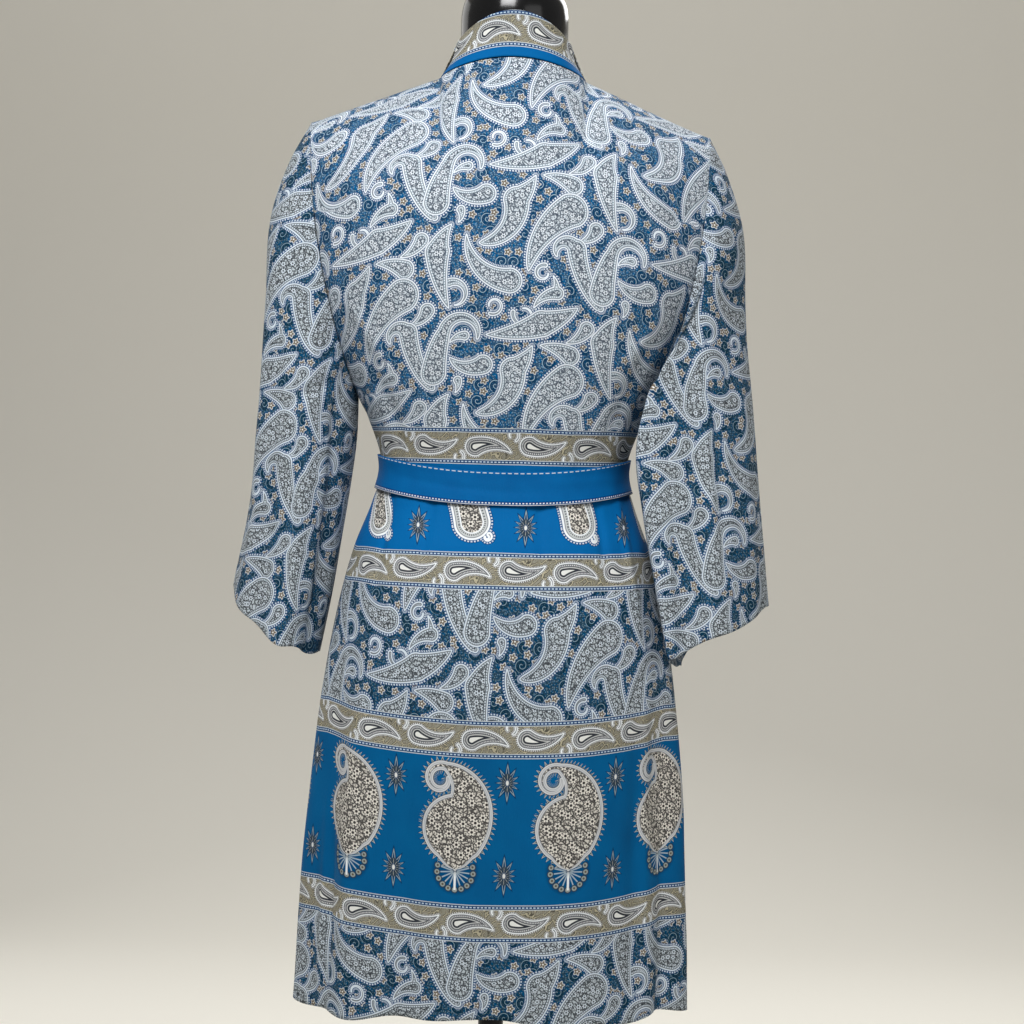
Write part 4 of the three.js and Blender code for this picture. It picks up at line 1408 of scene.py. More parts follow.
class Loom:
    """Adds nodes to a node tree, one call a node."""

    def __init__(self, tree: bpy.types.NodeTree) -> None:
        """Keeps the tree."""
        self.tree = tree

    def node(
        self, kind: str, feeds: dict[int | str, object] | None = None, **settings: object
    ) -> bpy.types.Node:
        """Adds a node.

        Args:
            kind: Blender's name of the node type.
            feeds: values or wires by input.
            settings: the node's own settings.

        Returns:
            The node.
        """
        made = self.tree.nodes.new(kind)
        for name, value in settings.items():
            setattr(made, name, value)
        for key, value in (feeds or {}).items():
            if isinstance(value, Wire):
                self.tree.links.new(value.socket, made.inputs[key])
            else:
                made.inputs[key].default_value = value
        return made

    def math(self, operation: str, *values: Number, clamp: bool = False) -> Wire:
        """One step of arithmetic."""
        made = self.node("ShaderNodeMath", dict(enumerate(values)), operation=operation, use_clamp=clamp)
        return Wire(self, made.outputs[0])

    def vector(self, operation: str, first: Wire, second: "Wire | Triple") -> Wire:
        """One step of arithmetic on vectors."""
        made = self.node("ShaderNodeVectorMath", {0: first, 1: second}, operation=operation)
        return Wire(self, made.outputs[0])

    def combine(self, x: Number, y: Number, z: Number = 0.0) -> Wire:
        """A vector from its numbers."""
        return Wire(self, self.node("ShaderNodeCombineXYZ", {0: x, 1: y, 2: z}).outputs[0])

    def split(self, vector: Wire) -> tuple[Wire, Wire, Wire]:
        """All three numbers of a vector; each has to be used, or the renderer keeps room for it."""
        made = self.node("ShaderNodeSeparateXYZ", {0: vector})
        return Wire(self, made.outputs[0]), Wire(self, made.outputs[1]), Wire(self, made.outputs[2])

    def dot(self, vector: Wire, way: Triple) -> Wire:
        """How far a vector reaches in a direction."""
        made = self.node("ShaderNodeVectorMath", {0: vector, 1: way}, operation="DOT_PRODUCT")
        return Wire(self, made.outputs["Value"])

    def separate(self, vector: Wire) -> tuple[Wire, Wire]:
        """The two numbers of a flat vector."""
        return self.dot(vector, (1, 0, 0)), self.dot(vector, (0, 1, 0))

    def distance(self, first: Wire, second: Wire | Triple) -> Wire:
        """Distance between two points."""
        made = self.node("ShaderNodeVectorMath", {0: first, 1: second}, operation="DISTANCE")
        return Wire(self, made.outputs["Value"])

    def shift(self, vector: Wire, x: float, y: float) -> Wire:
        """A vector taken from another origin."""
        return self.vector("SUBTRACT", vector, (x, y, 0))

    def scaled(self, vector: Wire, factor: float) -> Wire:
        """A vector made longer or shorter."""
        made = self.node("ShaderNodeVectorMath", {0: vector, "Scale": factor}, operation="SCALE")
        return Wire(self, made.outputs[0])

    def between(self, first: Number, second: Number, share: Number) -> Wire:
        """Mix of two numbers."""
        made = self.node("ShaderNodeMix", {0: share, 2: first, 3: second}, clamp_factor=False)
        return Wire(self, made.outputs[0])

    def paint(self, base: object, colour: object, share: Number) -> Wire:
        """A colour laid over another."""
        made = self.node("ShaderNodeMix", {0: share, 6: base, 7: colour}, data_type="RGBA")
        return Wire(self, made.outputs[2])

    def cells(self, vector: Wire, pitch: float, random: float = 1.0, feature: str = "F1") -> bpy.types.Node:
        """Cells of a given pitch in mm."""
        feeds = {"Vector": vector, "Scale": 1 / pitch, "Randomness": random}
        return self.node("ShaderNodeTexVoronoi", feeds, voronoi_dimensions="2D", feature=feature)

    def noise(self, vector: Wire, pitch: float, detail: float = 1.0) -> Wire:
        """Soft noise of a given pitch in mm, from 0 to 1."""
        feeds = {"Vector": vector, "Scale": 1 / pitch, "Detail": detail}
        return Wire(self, self.node("ShaderNodeTexNoise", feeds, noise_dimensions="2D").outputs[0])


@dataclass(frozen=True)
class Horn:
    """One drop of a paisley: a round head that narrows along an arc to its tip. Sizes in mm.

    Args:
        head: middle of the head.
        tip: end of the arc.
        bend: how far the arc turns to the left on its way, in degrees; less than 0 is to the right.
        radius: of the head.
        taper: how fast it narrows; 1 is straight.
        coil: share by which the arc tightens on its way.
        least: half width that the tip keeps.
    """

    head: Pair
    tip: Pair
    bend: float
    radius: float
    taper: float = 0.8
    coil: float = 0.0
    least: float = 0.5

    @property
    def arc(self) -> tuple[Vector, float, float, float, float]:
        """The arc that the horn bends along.

        Returns:
            Its centre, radius, middle direction, half turn and side.
        """
        head = Vector(self.head)
        run = Vector(self.tip) - head
        half = math.radians(self.bend) / 2
        reach = run.length / (2 * math.sin(half))
        left = Vector((-run.y, run.x)).normalized()
        centre = head + run / 2 + left * reach * math.cos(half)
        start = math.atan2(head.y - centre.y, head.x - centre.x)
        return centre, abs(reach), start + half, abs(half), math.copysign(1, half)

    def draw(self, loom: Loom, place: Wire, bead: float) -> tuple[Wire, Wire]:
        """Measures the horn at a place.

        Args:
            loom: adds the nodes.
            place: flat vector in mm.
            bead: spacing of the beads round it, in mm.

        Returns:
            The distance from its outline, less than 0 inside, and the count of beads along it.
        """
        centre, reach, middle, half, side = self.arc
        feeds = {
            "Vector": place,
            "Location": (centre.x, centre.y, 0),
            "Rotation": (0, 0, middle),
            "Scale": (1, side, 1),
        }
        local = Wire(loom, loom.node("ShaderNodeMapping", feeds, vector_type="TEXTURE").outputs[0])
        x, y, z = loom.split(local)
        along = loom.math("MULTIPLY_ADD", loom.math("ARCTAN2", y, x), 0.5 / half, 0.5, clamp=True)
        angle = loom.math("MULTIPLY_ADD", along, 2 * half, -half)
        out = loom.math("MULTIPLY_ADD", along, -reach * self.coil, reach) if self.coil else reach
        spine = loom.combine(loom.math("COSINE", angle) * out, loom.math("SINE", angle) * out, z)
        away = loom.distance(local, spine)
        width = loom.math("POWER", 1 - along, self.taper)
        edge = loom.math("MULTIPLY_ADD", width, -(self.radius - self.least), away) - self.least
        dx, dy = loom.separate(loom.vector("SUBTRACT", local, spine))
        beads = max(3, round(2 * math.pi * (self.radius + 2) / bead))
        round_head = loom.math("ARCTAN2", dy, dx) * (beads / (2 * math.pi))
        count = loom.math("MULTIPLY_ADD", along, 2 * half * reach / bead, round_head)
        return edge, count


@dataclass(frozen=True)
class Motif:
    """Horns that grow together into one shape."""

    centre: Pair
    horns: tuple[Horn, ...]


@dataclass(frozen=True)
class Repeat:
    """A print's repeat: a step across with its drop, and a step up, in mm."""

    across: float
    drop: float
    up: float | None

    def wrap(self, loom: Loom, place: Wire, centre: Pair) -> Wire:
        """A place measured from the nearest copy of a motif's centre.

        Args:
            loom: adds the nodes.
            place: flat vector in mm.
            centre: of the motif.

        Returns:
            The flat vector from that copy's centre.
        """
        x, y, z = loom.split(loom.shift(place, *centre))
        step = loom.math("ROUND", x * (1 / self.across))
        x = loom.math("MULTIPLY_ADD", step, -self.across, x)
        if self.drop:
            y = loom.math("MULTIPLY_ADD", step, -self.drop, y)
        if self.up:
            rise = loom.math("ROUND", y * (1 / self.up))
            y = loom.math("MULTIPLY_ADD", rise, -self.up, y)
        return loom.combine(x, y, z)


class Painter(Loom):
    """The loom of a reusable group of nodes that turns a place on the cloth, in mm, into a colour.

    Where motifs meet, a later one covers an earlier one up to its lap, in mm, outside its own outline.
    """

    name = "painter"
    lap = 0.7

    def __init__(self) -> None:
        """Nothing is built until it is first used."""
        self.tree: bpy.types.NodeTree | None = None

    def colour(self, place: Wire) -> Wire:
        """The colour at a place; each painter has its own."""
        raise NotImplementedError

    def use(self, loom: Loom, place: Wire) -> Wire:
        """Adds the group to a material.

        Args:
            loom: of the material.
            place: flat vector in mm.

        Returns:
            The colour.
        """
        if self.tree is None:
            self.tree = bpy.data.node_groups.new(self.name, "ShaderNodeTree")
            self.tree.interface.new_socket("Place", in_out="INPUT", socket_type="NodeSocketVector")
            self.tree.interface.new_socket("Colour", in_out="OUTPUT", socket_type="NodeSocketColor")
            start = self.node("NodeGroupInput")
            end = self.node("NodeGroupOutput")
            made = self.colour(Wire(self, start.outputs[0]))
            self.tree.links.new(made.socket, end.inputs[0])
        made = loom.node("ShaderNodeGroup", {0: place}, node_tree=self.tree)
        return Wire(loom, made.outputs[0])

    def scatter(self, place: Wire, pitch: float, random: float) -> tuple[Wire, Wire]:
        """Strews middles of flowers or curls over the cloth.

        Args:
            place: flat vector in mm.
            pitch: of the middles in mm.
            random: how far they stray from a square grid, from 0 to 1.

        Returns:
            The distance from the nearest middle in mm and the angle round it.
        """
        spots = self.cells(place, pitch, random)
        x, y = self.separate(self.vector("SUBTRACT", place, Wire(self, spots.outputs["Position"])))
        return Wire(self, spots.outputs["Distance"]) * pitch, self.math("ARCTAN2", y, x)

    def petals(self, radius: Wire, turn: Wire, count: float, depth: float) -> Wire:
        """Distance from a flower's middle, less along each of its petals."""
        return radius - self.math("COSINE", turn * count) * depth

    def nearest(
        self, place: Wire, repeat: Repeat, motifs: tuple[Motif, ...], bead: float
    ) -> tuple[Wire, Wire]:
        """Lays the motifs of a repeat over one another.

        Args:
            place: flat vector in mm.
            repeat: of the print.
            motifs: in the order in which they are laid.
            bead: spacing of the beads in mm.

        Returns:
            The distance from the uppermost motif's outline and the count of beads along it.
        """
        best: Wire | None = None
        beads: Wire | None = None
        for motif in motifs:
            local = repeat.wrap(self, place, motif.centre)
            edge, count = motif.horns[0].draw(self, local, bead)
            for horn in motif.horns[1:]:
                other, number = horn.draw(self, local, bead)
                nearer = self.math("LESS_THAN", other, edge)
                edge = self.math("MINIMUM", edge, other)
                count = self.between(count, number, nearer)
            if best is None:
                best, beads = edge, count
                continue
            taken = self.math("LESS_THAN", edge, self.math("MAXIMUM", best, self.lap))
            best = self.between(best, edge, taken)
            beads = self.between(beads, count, taken)
        return best, beads

    def dots(self, count: Wire, size: float) -> Wire:
        """A mask of beads, each over a share of its spacing."""
        swing = self.math("COSINE", count * (2 * math.pi))
        return self.math("MULTIPLY_ADD", swing, 2.5, 0.5 - 2.5 * math.cos(math.pi * size), clamp=True)


CREAM = linear(232, 233, 228)
WHITE = linear(236, 240, 242)
GREY = linear(196, 200, 200)
INK = linear(62, 70, 78)
NAVY = linear(0, 62, 112)
BLUE = linear(0, 94, 156)


@dataclass(frozen=True)
class Inks:
    """The colours of the allover print: ground, drops and the fine drawing on both."""

    deep: tuple[float, ...] = linear(0, 50, 84)
    clear: tuple[float, ...] = linear(0, 88, 140)
    fine: tuple[float, ...] = linear(150, 186, 208)
    paper: tuple[float, ...] = linear(204, 214, 222)
    pen: tuple[float, ...] = linear(44, 58, 76)
    ring: tuple[float, ...] = linear(148, 164, 176)
    rim: tuple[float, ...] = linear(228, 236, 243)
    curl: tuple[float, ...] = linear(172, 200, 216)


class Allover(Painter):
    """The dense paisley print: large curled drops over a dotted blue ground."""

    name = "allover_print"
    inks = Inks()
    repeat = Repeat(162, 82, 164)
    bead = 2.9
    motifs = (
        Motif((52, -10), (Horn((8, -3), (-24, 4), -80, 9.5, 0.7),)),
        Motif((36, -30), (Horn((0, 2), (-2, -10), -60, 4.2, 0.9),)),
        Motif((66, 34), (Horn((0, 2), (-5, 9), 300, 1.6, 1.0, 0.45, 0.55),)),
        Motif((88, 36), (Horn((0, 2), (9, 10), 290, 2.2, 1.0, 0.4, 0.5),)),
        Motif((-40, -30), (Horn((8, 6), (-14, -9), 60, 6.5, 0.8), Horn((7, 8), (4, 22), 40, 3.6, 0.9))),
        Motif((30, -108), (Horn((-4, 10), (2, -14), -200, 4.2, 1.1, 0.2, 0.5),)),
        Motif((118, -80), (Horn((0, 0), (6, -8), 280, 2.2, 1.0, 0.4, 0.5),)),
        Motif((151, 19), (Horn((9, 7), (-11, -8), -50, 7.5, 0.8),)),
        Motif((159, -48), (Horn((8, 6), (-9, -7), -60, 7.5, 0.8),)),
        Motif(
            (8, -4),
            (Horn((-22, 24), (3, -31), 34, 9.5, 0.4, 0.0, 3.0), Horn((-25, 26), (-41, 15), 170, 8.0, 0.75)),
        ),
        Motif(
            (20, -4),
            (
                Horn((-8, -16), (2, 24), -16, 12.6, 0.7, 0.0, 6.0),
                Horn((2, 23), (36, 16), -185, 6.4, 0.7, 0.1, 1.2),
            ),
        ),
        Motif((36, 12), (Horn((6, 3), (-8, -3), 60, 4.6, 0.8),)),
        Motif((18, -92), (Horn((-4, 24), (8, -30), 26, 12.0, 0.8), Horn((-4, 24), (9, 50), -30, 12.0, 0.9))),
        Motif((64, -74), (Horn((20, -22), (-22, 22), -88, 12.2, 0.85),)),
        Motif((131, 3), (Horn((13, -4), (-16, 4), 30, 9.5, 0.8),)),
        Motif(
            (76, -36),
            (Horn((13, 18), (-20, -28), -96, 12.5, 0.6, 0.1, 1.4), Horn((13, 18), (31, 42), 30, 12.5, 0.9)),
        ),
        Motif((124, -52), (Horn((18, 26), (-22, -34), 54, 16.5, 0.72),)),
        Motif(
            (106, 30),
            (Horn((10, -2), (-43, -14), -26, 12.8, 0.8), Horn((10, -2), (44, 15), 22, 12.8, 0.75)),
        ),
    )

    def texture(self, place: Wire) -> tuple[Wire, Wire]:
        """Leaves and seeds that the ground and the drops share.

        Args:
            place: flat vector in mm.

        Returns:
            Leaf edges and seeds, as distances in shares of their pitch.
        """
        bent = self.noise(place, 7.0, 1.0)
        x, y = self.separate(place)
        warped = self.combine(x + bent * 7.0, y - bent * 6.0)
        leaves = Wire(self, self.cells(warped, 4.2, 1.0, "DISTANCE_TO_EDGE").outputs["Distance"])
        seeds = Wire(self, self.cells(place, 2.3, 0.9).outputs["Distance"])
        return leaves, seeds

    def ground(self, place: Wire, leaves: Wire, seeds: Wire) -> Wire:
        """The blue ground with its specks, tendrils and small flowers.

        Args:
            place: flat vector in mm.
            leaves: from the texture.
            seeds: from the texture.

        Returns:
            The colour.
        """
        base = self.paint(self.inks.clear, self.inks.deep, leaves.under(0.22, 0.3))
        base = base.coat(self.inks.fine, leaves.within(0.06, 0.13, 0.07) * 0.28)
        base = base.coat(self.inks.fine, seeds.under(0.25, 0.14) * 0.55)
        base = self.curls(base, place)
        radius, turn = self.scatter(place, 14.5, 0.8)
        flower = self.petals(radius, turn, 5.0, 0.8)
        base = base.coat(NAVY, flower.under(4.7, 0.4) * 0.8)
        base = base.coat(linear(200, 204, 202), flower.under(3.7, 0.4))
        base = base.coat(linear(112, 100, 86), flower.under(2.6, 0.4))
        return base.coat(CREAM, radius.under(0.8, 0.3))

    def curls(self, base: Wire, place: Wire) -> Wire:
        """Thin curled tendrils strewn over the ground.

        Args:
            base: colour of the ground.
            place: flat vector in mm.

        Returns:
            The colour.
        """
        radius, turn = self.scatter(place, 17.0, 0.9)
        swirl = self.math("ABSOLUTE", self.math("SINE", radius * 0.8 - turn * 0.5))
        near = radius.under(6.6, 0.6)
        base = base.coat(self.inks.deep, near * 0.75)
        return base.coat(self.inks.curl, swirl.under(0.24, 0.16) * near * 0.85)

    def filigree(self, place: Wire, leaves: Wire, seeds: Wire) -> Wire:
        """The fine drawing inside a drop: small flowers, leaves and seeds.

        Args:
            place: flat vector in mm.
            leaves: from the texture.
            seeds: from the texture.

        Returns:
            The colour.
        """
        base = self.paint(self.inks.paper, self.inks.pen, leaves.under(0.13, 0.1) * 0.85)
        base = base.coat(self.inks.pen, seeds.under(0.28, 0.14) * 0.7)
        radius, turn = self.scatter(place, 8.2, 0.7)
        flower = self.petals(radius, turn, 6.0, 0.55)
        base = base.coat(self.inks.pen, flower.within(2.2, 3.0, 0.3) * 0.9)
        base = base.coat(self.inks.rim, flower.under(2.2, 0.3) * 0.85)
        return base.coat(self.inks.pen, radius.under(0.9, 0.3) * 0.9)

    def colour(self, place: Wire) -> Wire:
        """The print's colour at a place.

        Args:
            place: flat vector in mm.

        Returns:
            The colour.
        """
        edge, beads = self.nearest(place, self.repeat, self.motifs, self.bead)
        dot = self.dots(beads, 0.55)
        leaves, seeds = self.texture(place)
        base = self.ground(place, leaves, seeds)
        base = base.coat(NAVY, edge.under(3.2, 0.5) * 0.8)
        base = base.coat(self.inks.rim, edge.within(1.0, 2.6) * dot * 0.85)
        base = base.coat(self.inks.rim, edge.under(0.4))
        base = base.coat(self.inks.pen, edge.within(-1.5, -0.9) * 0.85)
        base = base.coat(self.inks.ring, edge.under(-1.5))
        base = base.coat(self.inks.rim, edge.within(-3.1, -1.9) * dot)
        base = base.coat(self.inks.pen, edge.within(-4.0, -3.4) * 0.85)
        return base.coat(self.filigree(place, leaves, seeds), edge.under(-4.0))


class ShadedAllover(Allover):
    """The same print in darker inks, painted shade for the skirt and the sleeves: a shaded copy of the
    allover print.
    """

    name = "shaded_allover_print"
    inks = Inks(
        deep=linear(0, 40, 60),
        clear=linear(0, 72, 112),
        fine=linear(120, 150, 168),
        paper=linear(184, 194, 200),
        pen=linear(30, 34, 40),
        ring=linear(118, 128, 136),
        rim=linear(210, 221, 230),
        curl=linear(140, 168, 184),
    )


class Border(Painter):
    """The border print, 36 mm high: lying drops on beige between dashed edges."""

    name = "border_print"
    height = 36.0
    dash_pitch = 3.6
    repeat = Repeat(106, 0, None)
    motifs = (
        Motif((-20, 18.8), (Horn((-11, -1.5), (24, -6.5), -64, 9.4, 0.85),)),
        Motif((33, 17.2), (Horn((-11, 1.5), (24, 6.5), 64, 9.4, 0.85),)),
        Motif((9, 24.0), (Horn((0, 0), (-8, 2), 270, 1.3, 1.0, 0.4, 0.5),)),
        Motif((62, 12.0), (Horn((0, 0), (-8, -2), -270, 1.3, 1.0, 0.4, 0.5),)),
    )

    def colour(self, place: Wire) -> Wire:
        """The border's colour.

        Args:
            place: flat vector in mm; its height runs from the border's lower edge.

        Returns:
            The colour.
        """
        x, y = self.separate(place)
        bent = self.noise(place, 9.0, 1.0)
        warped = self.combine(x + bent * 11.0, y + bent * 9.0)
        scroll = Wire(self, self.cells(warped, 6.2, 0.9, "DISTANCE_TO_EDGE").outputs["Distance"])
        seeds = Wire(self, self.cells(place, 2.2, 1.0).outputs["Distance"])
        base = self.paint(linear(160, 157, 142), linear(126, 124, 108), self.noise(place, 14.0))
        base = base.coat(linear(112, 104, 88), seeds.under(0.28, 0.16) * 0.55)
        base = base.coat(linear(58, 54, 46), scroll.within(0.06, 0.16, 0.07) * 0.8)
        base = base.coat(linear(190, 182, 154), scroll.under(0.06, 0.05) * 0.8)
        edge, beads = self.nearest(place, self.repeat, self.motifs, 2.2)
        dot = self.dots(beads, 0.55)
        base = base.coat(linear(70, 66, 60), edge.under(1.9, 0.4) * 0.7)
        base = base.coat(WHITE, edge.within(0.6, 1.6) * dot * 0.8)
        base = base.coat(WHITE, edge.under(0.3))
        base = base.coat(INK, edge.within(-1.4, -0.8) * 0.85)
        base = base.coat(linear(92, 94, 98), edge.under(-1.4))
        base = base.coat(linear(214, 216, 216), edge.within(-3.1, -1.9) * dot)
        base = base.coat(linear(196, 198, 196), edge.within(-5.2, -4.2))
        base = base.coat(linear(52, 56, 62), edge.under(-5.2))
        base = base.coat(CREAM, edge.under(-7.0))
        from_edge = self.math("MINIMUM", y, self.height - y)
        base = base.coat(linear(196, 204, 208), from_edge.under(4.9))
        dash = self.dots(x * (1 / self.dash_pitch), 0.62)
        dashes = from_edge.within(1.9, 3.1) * dash
        lane = self.paint(linear(4, 56, 104), linear(190, 210, 226), dashes)
        return base.coat(lane, from_edge.within(0.8, 4.1))


class Butas(Painter):
    """The blue band with upright curled drops, each on a foot of rays and buds, and sprigs between them."""

    name = "buta_band"
    repeat = Repeat(109, 0, None)
    sprigs = ((48.0, 45.0), (47.0, -44.0))
    foot_drop = 41
    rays = 17
    bud_ring = 17.5
    body = Horn((0, 0), (-12, 59), 120, 32.5, 0.98, 0.0, 3.6)
    curl = Horn((-12, 59), (-3.05, 48.9), 300, 4.0, 0.7, 0.45, 1.3)
    point = Horn((0, 0), (0, -39), 1, 32.5, 0.55, 0.0, 0.8)

    def colour(self, place: Wire) -> Wire:
        """The band's colour.

        Args:
            place: flat vector in mm from the middle of a drop's body.

        Returns:
            The colour.
        """
        base = self.plain(place)
        for across, up in self.sprigs:
            base = self.sprig(base, self.repeat.wrap(self, place, (across, up)))
        local = self.repeat.wrap(self, place, (0, 0))
        base = self.foot(base, local)
        shape = (Motif((0, 0), (self.body, self.curl, self.point)),)
        edge, beads = self.nearest(place, self.repeat, shape, 5.2)
        swing = self.math("ABSOLUTE", self.math("SINE", beads * math.pi))
        leaf = self.math("MULTIPLY_ADD", swing, 5.6, edge)
        base = base.coat(NAVY, leaf.under(6.8, 0.8) * 0.8)
        base = base.coat(linear(176, 184, 180), leaf.under(5.4, 0.5))
        base = base.coat(linear(34, 50, 66), leaf.under(3.6, 0.6) * 0.85)
        base = base.coat(linear(34, 50, 66), edge.under(1.3, 0.4) * 0.85)
        base = base.coat(linear(204, 206, 208), edge.under(0.7))
        base = base.coat(linear(120, 122, 124), edge.within(-1.2, -0.8) * 0.7)
        base = base.coat(INK, edge.within(-3.0, -2.3) * 0.7)
        return base.coat(self.flowers(place), edge.under(-3.0))

    def plain(self, place: Wire) -> Wire:
        """The plain blue ground, not quite even."""
        return self.paint(linear(0, 84, 136), linear(0, 95, 148), self.noise(place, 36))

    def flowers(self, place: Wire) -> Wire:
        """The dark flowers and leaves on cream that fill a drop.

        Args:
            place: flat vector in mm.

        Returns:
            The colour.
        """
        bent = self.noise(place, 8.0, 2.0)
        x, y = self.separate(place)
        warped = self.combine(x + bent * 8.0, y - bent * 7.0)
        stems = Wire(self, self.cells(warped, 4.6, 1.0, "DISTANCE_TO_EDGE").outputs["Distance"])
        base = self.paint(linear(214, 210, 200), linear(40, 40, 42), stems.under(0.15, 0.1) * 0.9)
        seeds = Wire(self, self.cells(place, 2.2, 1.0).outputs["Distance"])
        base = base.coat(linear(70, 64, 60), seeds.under(0.34, 0.14) * 0.75)
        radius, turn = self.scatter(place, 10.5, 0.75)
        flower = self.petals(radius, turn, 6.0, 0.8)
        base = base.coat(linear(46, 44, 46), flower.within(3.0, 4.0, 0.4) * 0.9)
        base = base.coat(linear(226, 222, 212), flower.under(3.0, 0.4))
        return base.coat(linear(60, 56, 54), radius.under(1.4, 0.4))

    def sprig(self, base: Wire, local: Wire) -> Wire:
        """A small flower with thin rays of petals, longer above and beneath.

        Args:
            base: colour beneath.
            local: flat vector in mm from its middle.

        Returns:
            The colour.
        """
        x, y = self.separate(local)
        turn = self.math("ARCTAN2", x, y)
        ray = self.math("ABSOLUTE", self.math("SINE", turn * 6.0))
        oval = self.distance(self.combine(x * 1.45, y * 0.84), (0, 0, 0))
        star = self.math("MULTIPLY_ADD", ray, 8.5, oval)
        base = base.coat(linear(2, 44, 84), star.under(18.0, 1.5) * 0.85)
        base = base.coat(linear(150, 168, 174), star.within(12.4, 15.4, 1.0) * 0.85)
        base = base.coat(linear(30, 48, 64), oval.within(3.2, 7.6, 1.0) * 0.9)
        base = base.coat(linear(190, 192, 184), star.within(5.4, 7.6, 0.8) * 0.8)
        return base.coat(CREAM, oval.under(2.0, 0.4) * 0.9)

    def foot(self, base: Wire, local: Wire) -> Wire:
        """The white stalk beneath a drop with its rays and small round flowers.

        Args:
            base: colour beneath.
            local: flat vector in mm from the middle of the drop's body.

        Returns:
            The colour.
        """
        x, y = self.separate(self.shift(local, 0, -self.foot_drop))
        radius = self.distance(self.combine(x, y), (0, 0, 0))
        turn = self.math("ARCTAN2", x, y * -1.0) * (self.rays / (2 * math.pi))
        along = (turn - self.math("ROUND", turn)) * (2 * math.pi / self.rays)
        below = self.math("ABSOLUTE", turn).under(5.5, 0.1)
        base = base.coat(linear(2, 50, 92), radius.under(22.0, 3.0) * below * 0.5)
        ray = self.math("ABSOLUTE", along * radius).under(0.6, 0.4) * radius.within(2.0, 16.0)
        base = base.coat(linear(176, 192, 200), ray * below * 0.85)
        bud = self.distance(self.combine(along * self.bud_ring, radius - self.bud_ring), (0, 0, 0))
        base = base.coat(linear(40, 60, 80), bud.under(3.4, 0.5) * below)
        base = base.coat(linear(150, 160, 158), bud.under(2.4, 0.5) * below)
        base = base.coat(linear(96, 84, 70), bud.under(1.1, 0.4) * below)
        stalk = self.math("MAXIMUM", self.math("ABSOLUTE", x) - 1.1, self.math("ABSOLUTE", y + 4.0) - 14.0)
        return base.coat(WHITE, stalk.under(0.0, 0.4))


class Pendants(Butas):
    """The blue band beneath the waist with curled pairs of drops that hang from it."""

    name = "pendant_band"
    repeat = Repeat(106, 0, None)
    sprigs = ((54.0, -18.0),)
    tongue = (Motif((0, 0), (Horn((2, -14), (-24, 44), 24, 17.5, 0.3, 0.0, 6.0),)),)
    tail = (Motif((19, -26), (Horn((0, 0), (-5, -2), -250, 2.2, 1.0, 0.3, 0.7),)),)

    def colour(self, place: Wire) -> Wire:
        """The band's colour.

        Args:
            place: flat vector in mm from the middle of a drop's hanging part.

        Returns:
            The colour.
        """
        base = self.paint(linear(0, 93, 156), linear(0, 103, 168), self.noise(place, 40))
        for across, up in self.sprigs:
            base = self.sprig(base, self.repeat.wrap(self, place, (across, up)))
        edge, beads = self.nearest(place, self.repeat, self.tail + self.tongue, 3.2)
        dot = self.dots(beads, 0.55)
        base = base.coat(NAVY, edge.under(3.6, 0.6) * 0.7)
        base = base.coat(WHITE, edge.within(1.2, 2.8) * dot * 0.7)
        base = base.coat(WHITE, edge.under(0.5))
        base = base.coat(INK, edge.within(-2.6, -1.6) * 0.75)
        base = base.coat(GREY, edge.under(-2.6))
        base = base.coat(INK, edge.within(-5.6, -3.8) * dot * 0.8)
        base = base.coat(WHITE, edge.within(-7.4, -6.2))
        return base.coat(self.flowers(place), edge.under(-7.4))


class Ribbon(Painter):
    """The sash's plain blue with its dashed lower edge; the place's height runs from that edge."""

    name = "ribbon_print"
    dash_pitch = 3.3
    top_pitch = 6.1

    def colour(self, place: Wire) -> Wire:
        """The sash's colour.

        Args:
            place: flat vector in mm; its height runs from the lower edge.

        Returns:
            The colour.
        """
        x, y = self.separate(place)
        base = self.paint(linear(0, 85, 145), linear(0, 96, 158), self.noise(place, 22.0))
        base = base.coat(linear(4, 62, 118), y.under(4.4))
        dash = self.dots(x * (1 / self.dash_pitch), 0.5)
        base = base.coat(WHITE, y.within(2.0, 3.2) * dash * 0.85)
        base = base.coat(WHITE, y.within(0.5, 1.2) * 0.8)
        top = self.dots(x * (1 / self.top_pitch), 0.62)
        return base.coat(WHITE, y.within(31.6, 32.5) * top * 0.7)


class Fill(Enum):
    """What a zone of the cloth is printed with."""

    ALLOVER = "allover"
    # painted shade: the allover print in darker inks, for the skirt and the sleeves
    DEEP = "shaded allover"
    BORDER = "border"
    BUTAS = "butas"
    PENDANTS = "pendants"
    RIBBON = "ribbon"
    BLUE = "blue"


@dataclass(frozen=True)
class Zone:
    """A band of the cloth between two heights on its cut, in mm, and where its print starts."""

    fill: Fill
    low: float
    high: float
    start: Pair = (0.0, 0.0)


PAINTERS = {
    Fill.ALLOVER: Allover(),
    Fill.DEEP: ShadedAllover(),
    Fill.BUTAS: Butas(),
    Fill.PENDANTS: Pendants(),
    Fill.BORDER: Border(),
    Fill.RIBBON: Ribbon(),
}


class Lay(Enum):
    """How the print lies on a cut piece."""

    PLAIN = "plain"
    BAND = "band"
    RIBBON = "ribbon"


